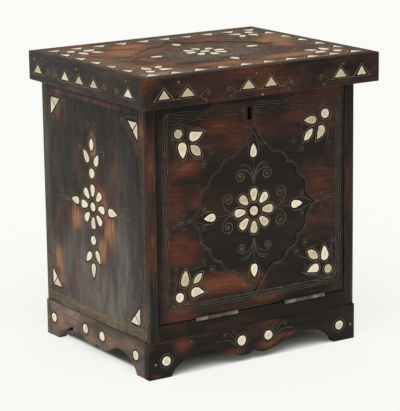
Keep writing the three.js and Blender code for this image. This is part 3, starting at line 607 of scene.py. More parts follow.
def bone_finish(looks):
    """Old bone: cream that differs from tablet to tablet, yellower and cloudy towards each middle, darker
    and browner along its rim, and with brown grime in fine cracks."""
    graph = Graph("aged_bone")
    place = graph.object_place()
    rim = graph.attribute("rim")
    clouds = graph.noise(place, 260.0, 4.0, 0.6, 0.8)
    yellow = graph.attribute("tone") + (clouds - 0.5) * 1.3 + (0.6 - rim) * 0.5
    base = graph.mix(graph.span(yellow, -0.2, 1.2), looks.bone, looks.old_bone)
    # Darker and browner towards the rim.
    rim_darkening = graph.span(rim + (clouds - 0.5) * 0.3, 0.92, 1.06, 0.0, 0.5)
    base = graph.mix(rim_darkening, base, scaled(looks.old_bone, 0.4))
    cells = graph.add("ShaderNodeTexVoronoi", {"Vector": place, "Scale": 130.0}, feature="DISTANCE_TO_EDGE")
    crack = graph.span(cells + clouds * 0.12, 0.045, 0.075, 0.4, 0.0)
    base = graph.mix(crack, base, scaled(looks.old_bone, 0.5))
    return graph.finish(base, graph.span(clouds, 0.3, 0.7, 0.32, 0.48), clouds - crack, 0.0001, 0.3)


def mastic_finish(looks):
    """Near-black mastic, dull and slightly grainy."""
    graph = Graph("aged_mastic")
    grains = graph.noise(graph.object_place(), 900.0, 4.0, 0.7)
    base = graph.mix(grains, looks.mastic, scaled(looks.mastic, 2.2))
    return graph.finish(base, graph.span(grains, 0.3, 0.7, 0.5, 0.7), grains, 0.00015, 0.08)


def wire_finish(looks):
    """Brass wire that a grey-olive tarnish covers in patches: the lower the tone of a wire, the more of
    it."""
    graph = Graph("aged_wire")
    patches = graph.noise(graph.object_place(), 120.0, 5.0, 0.7)
    tarnish = patches + (0.5 - graph.attribute("tone")) * 0.55
    base = graph.mix(graph.span(tarnish, 0.3, 0.7), looks.wire, looks.tarnish)
    return graph.finish(base, graph.span(tarnish, 0.3, 0.7, 0.42, 0.62), patches, 0.0001, 0.3, 0.3)


def metal_finish(name, bright, dark, gloss):
    """Worn metal: bright where it is rubbed and darker where it is dull, with fine scratches."""
    graph = Graph(f"aged_{name}")
    place = graph.object_place()
    blotches = graph.noise(place, 150.0, 5.0, 0.65)
    scratches = graph.noise(graph.shifted(place, (0, 0, 0), scale=(12.0, 1.0, 1.0)), 900.0, 3.0, 0.6)
    base = graph.mix(graph.span(blotches, 0.38, 0.66), bright, dark)
    rough = graph.span(blotches, 0.3, 0.7, gloss, gloss + 0.25)
    return graph.finish(base, rough, scratches, 0.00008, metallic=0.85)


# For each metal its bright and its dark tone, and its roughness where it is rubbed
METALS = {
    "iron": ((0.3, 0.27, 0.225), (0.085, 0.076, 0.062), 0.3),
    "bronze": ((0.17, 0.14, 0.09), (0.055, 0.045, 0.03), 0.34),
    "brass": ((0.45, 0.33, 0.14), (0.16, 0.11, 0.05), 0.3),
}


def finishes():
    """The finishes that several pieces share, made once."""
    if "aged_bone" not in bpy.data.materials:
        for finish in (bone_finish, mastic_finish, wire_finish):
            finish(bpy.context.scene.casket_inlay)
        for name, settings in METALS.items():
            metal_finish(name, *settings)
    return {name: bpy.data.materials[f"aged_{name}"] for name in ("bone", "mastic", "wire", *METALS)}


# Settings that a user would change

def colour_setting(name, description, default):
    return FloatVectorProperty(name=name, description=description, subtype="COLOR", size=3, min=0, max=1,
                               default=default)


def size_setting(name, description, default, least, most):
    return FloatProperty(name=name, description=description, default=default, min=least, max=most,
                         unit="LENGTH")


class CasketWood(bpy.types.PropertyGroup):
    dark: colour_setting("Dark wood", "Darkest patches of the varnished wood", (0.0135, 0.0102, 0.0078))
    brown: colour_setting("Brown wood", "Middle tone of the varnished wood", (0.034, 0.0165, 0.0115))
    red: colour_setting("Red wood", "Red-brown patches", (0.085, 0.0255, 0.0145))
    amber: colour_setting("Amber wood", "Orange-brown patches of the front", (0.16, 0.055, 0.022))
    tan: colour_setting("Tan wood", "Faded patches of the sides", (0.31, 0.15, 0.068))
    orange: colour_setting("Orange wood", "Orange patches of the top", (0.3, 0.125, 0.055))
    # The rubbed edge colour is partly real and partly a painted highlight along the edges.
    edge_wear_and_highlight: colour_setting("Worn edge", "Wood where the varnish is rubbed off", (0.13, 0.05, 0.026))
    # Of the next two, the grey one is partly dust and partly a painted sheen, and the pale one is a painted
    # sheen.
    dust_and_sheen: colour_setting("Haze", "Grey bloom on the sides", (0.2, 0.175, 0.155))
    painted_sheen: colour_setting("Bloom", "Pale bloom on the top", (0.4, 0.29, 0.22))
    plain: colour_setting("Inside wood", "Unvarnished wood inside the casket", (0.16, 0.085, 0.045))
    edge_radius: size_setting("Edge radius", "Rounding of the boards' edges", 0.0007, 0.0001, 0.003)


class CasketInlay(bpy.types.PropertyGroup):
    bone: colour_setting("Bone", "Clean bone", (0.95, 0.83, 0.65))
    old_bone: colour_setting("Old bone", "Yellowed bone", (0.5, 0.41, 0.26))
    mastic: colour_setting("Mastic", "Dark filling round each tablet", (0.006, 0.0045, 0.0038))
    wire: colour_setting("Wire", "Brass wire", (0.32, 0.23, 0.11))
    tarnish: colour_setting("Tarnish", "Tarnished brass wire", (0.085, 0.083, 0.068))
    bone_proud: size_setting("Bone height", "Height of a tablet's middle over the wood",
                             0.00028, 0.00005, 0.0003)
    mastic_width: size_setting("Mastic width", "Width of the mastic round a tablet", 0.0014, 0.0002, 0.003)
    ring_gap: size_setting("Ring gap", "Distance of the wire ring from its tablet", 0.0021, 0.0005, 0.004)
    groove: size_setting("Groove", "Width of the dark groove that a wire lies in", 0.0017, 0.0003, 0.004)
    wire_width: size_setting("Wire width", "Width of the brass wire", 0.0006, 0.0002, 0.002)


class CasketStage(bpy.types.PropertyGroup):
    floor: colour_setting("Floor", "Colour of the pale floor", (0.95, 0.953, 0.92))
    # The backdrop is the colour of the floor's painted glow round the casket.
    backdrop: colour_setting("Backdrop", "Colour of the floor as it is seen, before shadows",
                             (0.955, 0.958, 0.925))
    sky: FloatProperty(name="Sky strength", description="Light from all round", default=0.45, min=0, max=3)
    key: FloatProperty(name="Key strength", description="Light from the soft main lamp", default=2.1,
                       min=0, max=10)


# Decoration

class Field:
    """A decorated face: the bone tablets, wires and pins that are laid on it. A drawing is mirrored by its
    signs, turned by its degrees and moved to its place before it is laid, and its wires
    may run backwards."""

    SLOTS = {"bone": "bone", "mastic": "dark_wood", "wire": "brass"}

    def __init__(self, face, seed, age, shine, groove=1.0):
        self.face, self.age, self.shine, self.groove = face, age, shine, groove
        self.random = np.random.default_rng(seed)
        self.tablets, self.wires, self.pins = [], [], []
        self.place, self.signs, self.backwards = (0, 0, 0), (1, 1), False

    def at(self, u, v, degrees=0):
        """The same field, with its drawings moved to another place and turned."""
        part = copy.copy(self)
        part.place = (u, v, degrees)
        return part

    def mirrored(self, sign_u, sign_v):
        """The same field, with its drawings mirrored."""
        part = copy.copy(self)
        part.signs = (sign_u, sign_v)
        return part

    def laid(self, points):
        return placed(np.multiply(points, self.signs), *self.place)

    def tablet(self, outline, ring=True):
        """A tablet cut by hand: its outline swells and shrinks a little, with the sines of two and three
        times the angle round its middle."""
        outline = self.laid(outline)[::self.signs[0] * self.signs[1]]
        middle = outline.mean(0)
        away = outline - middle
        angle = np.arctan2(away[:, 1], away[:, 0])
        phases = self.random.uniform(0, TURN, 2)
        swell = 1 + self.random.uniform(-SIZE_STRAY, SIZE_STRAY)
        for waves, share, phase in zip((2, 3), OUTLINE_STRAY, phases):
            swell = swell + share * np.sin(waves * angle + phase)
        outline = middle + away * swell[:, None]
        self.tablets.append((outline, self.age + self.random.uniform(-TONE_STRAY, TONE_STRAY)))
        if ring:
            self.ring(outline, bpy.context.scene.casket_inlay.ring_gap / MM, max(self.shine, 0.6))

    def ring(self, outline, gap, shine):
        """A wire round an outline that is already laid."""
        self.lay(grown(outline, gap), True, shine)

    def wire(self, path, closed=False, shine=None):
        path = self.laid(path)
        self.lay(path[::-1] if self.backwards else path, closed, self.shine if shine is None else shine)

    def lay(self, path, closed, shine):
        """A wire laid by hand: it strays from its path by two sines of the length along it. On a closed path
        they run once and three times round it."""
        even = resampled(path, WIRE_STEP, closed)
        turns = np.arange(len(even)) / (len(even) if closed else WIRE_WAVE / WIRE_STEP)
        long, short = WIRE_STRAY
        often = 3 if closed else 2.7
        stray = [long * np.sin(TURN * turns + one) + short * np.sin(often * TURN * turns + two)
                 for one, two in self.random.uniform(0, TURN, (2, 2))]
        self.wires.append((even + np.stack(stray, 1), closed, shine))

    def curl(self, start, heading, eye, radius, sense=1, turns=1.35, pin=0.55):
        """A scroll with a pin in its eye."""
        self.wire(scroll(start, heading, eye, radius, sense, turns))
        self.pins.append((*self.laid(eye), pin))

    def make(self, name, body):
        """Makes the face's pieces: all its tablets, the mastic round them and under its wires, and its wires
        and pins."""
        inlay = bpy.context.scene.casket_inlay
        proud = inlay.bone_proud / MM
        heaps = {part: Heap() for part in self.SLOTS}
        for outline, tone in self.tablets:
            bone = crowned(self.face, outline, 0.5, 0.6 * proud, 0.4 * proud)
            heaps["bone"].add(bone, tone, rims=TABLET_RINGS)
            pad = grown(outline, inlay.mastic_width / MM)
            heaps["mastic"].add(crowned(self.face, pad, 0.4, 0.25 * proud, 0.0))
        for path, closed, shine in self.wires:
            wire = strip(self.face, path, inlay.wire_width / MM, 0.55 * proud, closed)
            heaps["wire"].add(wire, shine, closed)
            groove = strip(self.face, path, self.groove * inlay.groove / MM, 0.14 * proud, closed)
            heaps["mastic"].add(groove, closed=closed)
        for u, v, radius in self.pins:
            heaps["wire"].add(dome(self.face, u, v, radius, 0.8 * proud), self.shine)
        return {part: heap.piece(f"{name}_{part}", finishes()[part], body, self.SLOTS[part])
                for part, heap in heaps.items()}


def rosette(field):
    """A disc with eight petals round it."""
    field.tablet(circle(DISC), ring=False)
    for number in range(8):
        field.tablet(placed(shape("petal", *PETAL) + (PETAL_RING, 0), 0, 0, 45 * number))


def ringed_drop(field):
    """A drop with a wire round it that runs on to a point, and a curl on each side of its point."""
    field.tablet(shape("drop", *DROP), ring=False)
    length, width = DROP[0] + 15, DROP[1] + 5.2
    blunt = DROP[0] / 2 + 2.2
    field.wire(shape("drop", length, width) + (length / 2 - blunt, 0), closed=True)
    for sign in (-1, 1):
        field.mirrored(1, sign).curl((-3.0, 6.6), 25, (6.5, 10.8), 3.3, turns=1.2, pin=0.6)


def stem_curls(field, start, end, left, right, hooks):
    """A stem that fans out towards a drop: a large spiral on each side of it and a pair of hooks over each.
    Left and right give how far the spiral's eye lies from the stem, and its radius."""
    field.wire([(start, 0), (end, 0)])
    for sign, (off, radius) in ((1, left), (-1, right)):
        part = field.mirrored(1, sign)
        for level, shift, narrower in ((1.5, 0, 0), (0.8, 1.6, 1.3)):
            fork = (start + 2 + shift, level)
            part.wire(scroll(fork, 3, (start + 9.5, off), radius - narrower, turns=1.5))
            part.wire(through((start, 0.4 * level), (start + 1, 0.8 * level), fork))
        part.pins.append((*part.laid((start + 9.5, off)), 1.1))
        for shift in (0, 2.0) if hooks else ():
            part.wire(through((start + 5, 0.7), (start + 14 - shift, 2.4), (start + 20 - shift, 7),
                              (start + 22.5 - shift, 13), (start + 20.5 - shift, 19.5 - shift)))


def fleuron(field):
    """The trefoil outside a medallion's side tip: a stem, an arc, and a curl and a slim leaf on each side."""
    field.wire([(0, 0), (10, 0)])
    for sign in (-1, 1):
        part = field.mirrored(1, sign)
        part.curl((1, 0.4), 15, (9, 7.2), 3.1, turns=1.2, pin=0.8)
        part.wire(bezier((10, 0), (15, 5.5), (20, 7), (24, 3.4), steps=10))
        part.wire(bezier((24, 3.4), (20, 1.5), (15, 0.6), (10, 0), steps=10))
    field.wire(bezier((10, 0), (16, 3.2), (22, 3.0), (27, 0), steps=10))


def corner_spray(field, u, v, signs, pieces):
    """A disc in a field's corner, three tablets beside it, contour lines outside them and curls inside
    them."""
    field.at(u, v).tablet(circle(DISC))
    part = field.at(u, v).mirrored(*signs)
    for kind, place_u, place_v, length, width, degrees in pieces:
        part.tablet(placed(shape(kind, length, width), place_u, place_v, degrees))
    for gap in (0, 1.7):
        part.wire(through((-3.4 - gap, 26), (-3.8 - gap, 15), (-6 - gap, 7), (-8.6 - gap, 0),
                          (-6.5 - gap, -7 - gap), (0, -9 - gap), (7, -7.4 - gap), (14, -4.4 - gap),
                          (25, -2.4 - gap), (34.5 + gap, 1.6)))
    part.wire(through((34.5, 1.8), (30, 7.5), (33, 12)))
    for start, heading, eye, radius in SPRAY_CURLS:
        eye = eye + field.random.uniform(-1.0, 1.0, 2)
        part.curl(start, heading, eye, radius * field.random.uniform(0.85, 1.15), turns=1.3, pin=0.8)


def sprays(field, left, right, bottom, top, places):
    for (sign_u, sign_v), (side, end, pieces) in places.items():
        u = left + side if sign_u < 0 else right - side
        v = bottom + end if sign_v < 0 else top - end
        corner_spray(field, u, v, (-sign_u, -sign_v), pieces)


def medallion_edge(field, u, v, sizes, rings):
    """Wires round a medallion, each with its gap and its shine, and a fleuron at each side tip."""
    for gap, shine in rings:
        field.ring(medallion(u, v, *sizes), gap, shine)
    for degrees, tip in ((0, sizes[0]), (180, -sizes[0])):
        fleuron(field.at(u + tip, v, degrees))


def medallion_ground(field, u, v, drops, stems):
    """The inlays of a medallion: a rosette, ringed drops and stems with curls."""
    rosette(field.at(u, v))
    for drop_u, drop_v, degrees in drops:
        ringed_drop(field.at(drop_u, drop_v, degrees))
    for degrees, *stem in stems:
        stem_curls(field.at(u, v, degrees), *stem)


# Operators

def board_piece(name, face, outline, thickness, material, body, node):
    """A board with rounded edges that stands for its node."""
    heap = Heap()
    heap.add(board(face, outline, thickness, bpy.context.scene.casket_wood.edge_radius / MM))
    made = heap.piece(name, material, body, "dark_wood")
    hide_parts(node)
    return made


def nail_heads(name, face, places, radius, body):
    heap = Heap()
    for u, v in places:
        heap.add(dome(face, u, v, radius, 0.28, count=20))
    heap.piece(name, finishes()["iron"], body, "iron")


def give(node, material):
    node.data.materials.clear()
    node.data.materials.append(material)


class CASKET_OT_plain_boards(bpy.types.Operator):
    """Gives the boards that carry no inlay their wood"""

    bl_idname = "casket.plain_boards"
    bl_label = "Plain boards"

    def execute(self, context):
        looks = context.scene.casket_wood
        for seed, (name, node) in enumerate(sorted(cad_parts.items()), 3):
            low, high = wood_box(name)
            if name == "front_rail":
                give(node, wood(f"wood_{name}", looks, (low, high), "x", seed, warmth=0.05, wear_and_highlight=0.1))
            elif any(word in name for word in ("board", "rail", "stop", "block")):
                give(node, inside_wood(f"wood_{name}", looks, "xyz"[np.argmax(high - low)], seed))
        return {"FINISHED"}


class CASKET_OT_plinth(bpy.types.Operator):
    """Makes the four scalloped aprons with their discs"""

    bl_idname = "casket.plinth"
    bl_label = "Plinth"

    # The scallops of a long and of a short apron: the cusp's height, the lobe's and the arch's highest or
    # lowest point, and the width of the foot
    LONG = (12, (12, 6.5), (63, 20.8), 27.7)
    SHORT = (15, (12, 9.5), (46, 20), 26)
    # The discs' places from the middle, on the foot and near the middle
    LONG_DISCS = ((113.5, 18.5), (17.5, 24))
    SHORT_DISCS = ((87.8, 21.7), (18, 25.4))
    MIDDLES = {-2: 0, -1: -5.2, 1: 5.2}
    DISC_RADIUS = 5.2
    RING_RADII = (7.2, 8.4)
    FRONT_SPOTS = ((-92, 32, 18, 14, 0.75), (-30, 12, 22, 7, 0.8), (18, 15, 20, 7, 0.9),
                   (42, 20, 22, 5, 0.8), (-126, 4, 10, 4, 0.7), (-120, 24, 16, 20, -1.2),
                   (90, 18, 40, 12, 0.25), (-20, 38, 60, 6, -0.5))
    OTHER_SPOTS = ((72, 26, 22, 10, 0.5), (30, 24, 22, 10, 0.9), (-10, 22, 14, 10, 0.8),
                   (-50, 28, 20, 8, 0.8), (-80, 22, 20, 12, 0.7), (100, 26, 18, 20, -0.6),
                   (50, 38, 40, 5, -0.6))
    # A pale film on the side and back aprons: a painted sheen.
    OTHER_DUST_AND_SHEEN_SPOTS = ((-95, 22, 100, 30, 0.3),)

    def execute(self, context):
        looks = context.scene.casket_wood
        rail_low, _ = wood_box("front_rail")
        for name, side in (("apron_front", -2), ("apron_back", 2), ("apron_left", -1), ("apron_right", 1)):
            face, low, high = face_of(name, side, side != 2)
            if side == -2:
                look = {"warmth": 0.12, "spots": face.spots(self.FRONT_SPOTS, 20)}
            else:
                # The side and back aprons get a pale film of painted sheen.
                look = {"warmth": 0.3, "light": looks.tan, "dust_and_sheen": 0.3, "dust_and_sheen_colour": looks.painted_sheen, "sheen": 0.2,
                        "spots": face.spots(self.OTHER_SPOTS, 20),
                        "dust_and_sheen_spots": face.spots(self.OTHER_DUST_AND_SHEEN_SPOTS, 100)}
            long = abs(side) == 2
            grain = "x" if long else "y"
            material = wood(f"wood_{name}", looks, (low, high), grain, 11 + side, wear_and_highlight=0.2, **look)
            width, thickness = (high - low)[:2][::1 if long else -1]
            half = width / 2 + (0 if long else thickness)
            outline = apron(half, width / 2, rail_low[2], *(self.LONG if long else self.SHORT))
            board_piece(f"{name}_shaped", face, outline, thickness, material, "case", name)
            if side == 2:
                continue
            field = Field(face, 20 + side, 0.65, 0.15) if long else Field(face, 20 + side, 0.2, 0.4, 0.5)
            self.decorate(field, self.MIDDLES[side], self.LONG_DISCS if long else self.SHORT_DISCS)
            field.make(name, "case")
        return {"FINISHED"}

    def decorate(self, field, middle, discs):
        """Two discs near the middle with a leafy scroll beside each, and one disc on each foot."""
        for sign in (-1, 1):
            for u, v in discs:
                disc = field.at(middle + sign * u, v)
                disc.tablet(circle(self.DISC_RADIUS), ring=False)
                for radius in self.RING_RADII:
                    disc.wire(circle(radius, 40), closed=True)
            inner_u, inner_v = discs[1]
            beside = field.at(middle + sign * inner_u, inner_v).mirrored(sign, 1)
            beside.curl((7, -3), 75, (22, 9.5), 2.6, -1)
            beside.curl((5.4, 6), 60, (11, 11.6), 2.0, -1, 1.0)
            for rise in (0, 1.4):
                beside.wire(through((8.6, rise - 5), (13, rise), (20, 4), (34, 3.4)))


class CASKET_OT_sides(bpy.types.Operator):
    """Makes the two side boards with their chain of inlays"""

    bl_idname = "casket.sides"
    bl_label = "Side boards"

    # Height of the rosette over the board's foot. The next four tables count forwards and up from it
    RISE = 126.7
    CHAIN = (("drop", -37.4, 1.2, 15.5, 8.2, 180), ("drop", 40.7, 0.5, 17.5, 9, 0),
             ("leaf", -0.2, 68.4, 14.5, 8.6, 86), ("drop", -12.2, 54.4, 15.5, 9, 128),
             ("drop", 9.7, 52.7, 14, 8.4, 62), ("drop", -11.4, -57.6, 15.5, 8.6, 227),
             ("drop", 8.8, -54.5, 15.5, 8.2, 302), ("drop", -1.8, -71.3, 16, 8.8, 268))
    DISCS = ((-0.7, 36.8, 5.4), (-0.7, -37.2, 5.1))
    SPOTS = ((-38, -18, 24, 26, 1.0), (34, -20, 26, 36, 1.0), (14, 10, 20, 30, 0.8), (45, 35, 30, 30, 0.55),
             (0, 70, 12, 20, 0.8), (16, -45, 16, 35, 1.0), (0, -70, 20, 20, 0.45), (-75, 100, 20, 30, 0.8),
             (100, 100, 12, 30, 0.8), (-78, -75, 20, 30, 0.9), (-85, -100, 35, 12, 0.8),
             (100, -100, 10, 20, 0.8), (0, 116, 110, 4, 0.8), (50, 60, 20, 40, 0.35),
             (-20, -118.5, 120, 5, 0.8), (0, 20, 45, 45, 0.25), (0, 50, 16, 45, 0.5))
    # Where a grey film lies, partly dust and partly a painted sheen, most of it low on the board.
    DUST_AND_SHEEN_SPOTS = ((0, -100, 160, 100, 0.7), (-110, 0, 20, 200, 0.5), (50, 0, 60, 120, 0.2),
             (0, -130, 160, 30, 0.35))
    # The pairs of triangles: their inset from the back or front edge and from the top or foot
    CORNERS = {(-1, 1): (20.1, 36.1), (1, 1): (15.6, 37.8), (-1, -1): (14.3, 20.8), (1, -1): (17.6, 16.0)}

    def execute(self, context):
        looks = context.scene.casket_wood
        # The two shares of red on the front edge of each board, by which the left one is redder
        for name, side, red, redder in (("side_left", -1, 0.4, 0.75), ("side_right", 1, -0.2, -0.375)):
            face, low, high = face_of(name, side)
            half, middle = (high - low)[1] / 2, (0, low[2] + self.RISE)
            stile = Face((face.origin[0] - side * 6 * MM, low[1] * MM, 0))
            rows = ((0, 135, 12, 50, redder), (0, 220, 12, 70, red), (0, 60, 12, 30, -0.9),
                    (0, 285, 12, 20, -0.5))
            spots = face.spots(self.SPOTS, 4, middle, -side) + stile.spots(rows, 3)
            dust_and_sheen_spots = face.spots(self.DUST_AND_SHEEN_SPOTS, 4, middle, -side)
            material = wood(f"wood_{name}", looks, (low, high), "z", 5 + side, warmth=0.16, light=looks.tan,
                            streaky=0.9, spots=spots, dust_and_sheen_spots=dust_and_sheen_spots, sheen=0.2)
            outline = rounded_rectangle(-half, half, low[2], high[2])
            board_piece(f"{name}_board", face, outline, (high - low)[0], material, "case", name)
            field = Field(face, 40 + side, 0.1, 0.55, 0.8)
            self.chain(field.at(1.8 * side, low[2] + self.RISE), -side)
            self.corners(field, half, low[2], high[2], -side)
            self.border(field, half, low[2], high[2])
            field.make(name, "case")
        return {"FINISHED"}

    def chain(self, field, forwards):
        """The rosette with its chain, and scrolls at the chain's ends. The sign named forwards says which
        way along u is the front."""
        rosette(field)
        part = field.mirrored(forwards, 1)
        part.backwards = forwards < 0
        for kind, u, v, length, width, degrees in self.CHAIN:
            part.tablet(placed(shape(kind, length, width), u, v, degrees))
        for u, v, radius in self.DISCS:
            part.tablet(circle(radius) + (u, v))
        for sign in (-1, 1):
            for other in (-1, 1):
                upright = part.mirrored(forwards * other, sign)
                upright.wire(scroll((2.0, 79), 50, (7.5, 90), 4.0, turns=1.3))
                upright.wire(scroll((15, 62.5), 20, (24, 61.5), 2.6, -1, 0.9))
                across = part.mirrored(forwards * sign, other)
                across.wire(scroll((50, 1.0), 15, (65, 8.0), 4.6, turns=1.1))
                across.wire(through((48.5, 0.4), (60, 1.2), (76, 0.4)))

    def corners(self, field, half, bottom, top, forwards):
        """In each corner two triangles that share a slanted side, and lines that cut the corner off."""
        leg, split = 18.5, 0.9
        along = np.array([(-split, 0), (-leg, 0), (-(leg + split) / 2, (split - leg) / 2)])
        for (sign_u, sign_v), (side, end) in self.CORNERS.items():
            turn = forwards * sign_u
            level = top - end if sign_v > 0 else bottom + end
            part = field.at(turn * (half - side), level).mirrored(turn, sign_v)
            for corners in (along, along[::-1, ::-1]):
                sides = [bezier(a, b, steps=5) for a, b in zip(corners, np.roll(corners, -1, 0))]
                part.tablet(chained(*sides), ring=False)
            part.wire(through((3, -leg - 6), (3, 3), (-leg - 6, 3)))
            cutoff = through((1.5, -leg - 14), (-3, -leg - 2), (-leg / 2 - 3, -leg / 2 - 3), (-leg - 2, -3),
                             (-leg - 14, 1.5))
            for shift in (0, 1.6, 4):
                part.wire(cutoff - shift)

    def border(self, field, half, bottom, top):
        """Lines round the whole board, and waves between them along its foot and its top."""
        for gap in (5.0, 7.0, 10.5):
            low, high = bottom + 2.5 + 0.3 * gap, top - 9 - 0.4 * gap
            field.wire(rounded_rectangle(gap - half, half - gap, low, high, 2.0), closed=True)
        along = np.linspace(-half + 5, half - 5, 70)
        for level, swing in ((bottom + 6.8, 0.5), (bottom + 8.8, -0.7), (bottom + 10.6, 0.6),
                             (bottom + 12.4, 0.2), (top - 15.5, 0.5), (top - 17.5, -0.6)):
            field.wire(np.stack([along, level + swing * np.sin(TURN * along / 45 + level)], 1), shine=0.9)


class CASKET_OT_fall(bpy.types.Operator):
    """Makes the fall front with its sunk medallion, rosette, sprays and border"""

    bl_idname = "casket.fall"
    bl_label = "Fall front"

    # The spot at u -120.5 is a painted shadow: a near-black band along the fall's left edge, where the gap
    # beside it lies in shade.
    SPOTS = ((-45, 262, 35, 12, 0.55), (-83, 222, 30, 16, 0.75), (-100, 190, 20, 50, 0.3),
             (-90, 132, 30, 22, 0.6), (-42, 92, 50, 14, 0.95), (-95, 70, 20, 8, 0.7), (0, 88, 16, 14, 0.9),
             (55, 262, 30, 12, 0.45), (95, 245, 20, 14, 0.4), (85, 185, 30, 30, 0.25),
             (75, 145, 20, 10, 0.3), (20, 68, 30, 8, 0.6), (80, 235, 30, 20, -0.3), (100, 150, 20, 30, 0.2),
             (40, 200, 30, 60, -0.25), (-20, 160, 70, 50, -0.25), (-120.5, 170, 4.5, 150, -2.0),
             (119.5, 170, 4, 140, -0.5), (0, 286, 120, 4, -0.5))

    def execute(self, context):
        looks = context.scene.casket_wood
        face, low, high = face_of("fall_board", -2)
        thickness = high[1] - low[1]
        u, _, v = sum(wood_box("rosette_disc")) / 2
        ground = (1, face.origin[1] + MEDALLION_DEPTH / 2 * MM, 1, 0.6)
        material = wood("wood_fall", looks, (low, high), "x", 2, warmth=0.22, tilt=7, wear_and_highlight=0.15, gloss=0.45,
                        spots=face.spots(self.SPOTS, 30), ground=ground)
        outline = rounded_rectangle(low[0], high[0], low[2], high[2])
        made = board_piece("fall_front", face, outline, thickness, material, "fall", "fall_board")
        cut(made, self.rooms(face, u, v, thickness, high[2]))

        field = Field(face, 60, 0.5, 0.22)
        sprays(field, low[0], high[0], low[2], high[2], FALL_SPRAYS)
        medallion_edge(field, u, v, FALL_MEDALLION, ((0.5, 0.3), (2.4, 0.15)))
        self.border(field)
        field.make("fall", "fall")

        field = Field(face.sunk(MEDALLION_DEPTH), 61, 0.4, 0.25, 0.8)
        drops = [f"drop_{side}" for side in ("right", "top", "left", "bottom")]
        centres = [sum(wood_box(name)) / 2 for name in drops]
        places = [(centre[0], centre[2], 90 * number) for number, centre in enumerate(centres)]
        medallion_ground(field, u, v, places, FALL_STEMS)
        made = field.make("fall_medallion", "fall")
        petals = [f"rosette_petal_{number}" for number in range(1, 9)]
        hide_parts("rosette_disc", *petals, *drops)
        return {"FINISHED"}

    def rooms(self, face, u, v, thickness, top):
        """The sunk medallion, the keyhole, the room for the lock and the pockets of the two hinges."""
        yield prism(face, medallion(u, v, *FALL_MEDALLION), -MEDALLION_DEPTH, 2)
        middle, radius = KEYHOLE["u"], KEYHOLE["width"] / 2
        arch = radius * direction(np.linspace(0, math.pi, 12)) + (middle, KEYHOLE["top"] - radius)
        foot = [(middle - radius, KEYHOLE["bottom"]), (middle + radius, KEYHOLE["bottom"])]
        yield prism(face, np.vstack([foot, arch]), -thickness - 2, 2)
        low, high = wood_box("lock_case")
        wide = rounded_rectangle(low[0] - HINGE_ROOM, high[0] + HINGE_ROOM, low[2] - HINGE_ROOM, top + 2, 0.1)
        yield prism(face, wide, -thickness - 2, LOCK_ROOM - thickness)
        yield from hinge_rooms("fall")

    def border(self, field):
        """Three lines along the sides and the foot, crossing waves along the sides, waves along the top
        and the foot, and a double line round the keyhole."""
        left, right, bottom, top, inner = -113.2, 116, 68.6, 281, 107
        for gap in (0, 2.2, 6.5):
            line = rounded_rectangle(left + gap, right - gap, bottom + gap, top, 9 - gap)
            field.wire(np.roll(line, -4, 0))
        along = np.linspace(bottom + 9, top, 90)
        for middle in (left + 4.2, right - 4.2):
            for swing in (-1.2, 1.2):
                field.wire(np.stack([middle + swing * np.sin(TURN * along / 52), along], 1))
        frame_left, frame_right = KEYHOLE["u"] - 7.4, KEYHOLE["u"] + 7.4
        for level, rise, count, start, end in ((top, 2.5, 5, -inner, frame_left),
                                               (top, 2.5, 5, frame_right, inner),
                                               (74.5, 2.4, 2, -inner, inner)):
            along = np.linspace(start, end, 70)
            for number in range(count):
                wave = 0.55 * np.sin(TURN * along / 52 + 0.9 * number)
                wave = wave + 0.3 * np.sin(TURN * along / 23 + 2 * number)
                field.wire(np.stack([along, level - rise * number + wave], 1))
        for shift in (0, 1.6):
            field.wire([(frame_left + shift, top), (frame_left + shift, 262 + shift),
                        (frame_right - shift, 262 + shift), (frame_right - shift, top)])


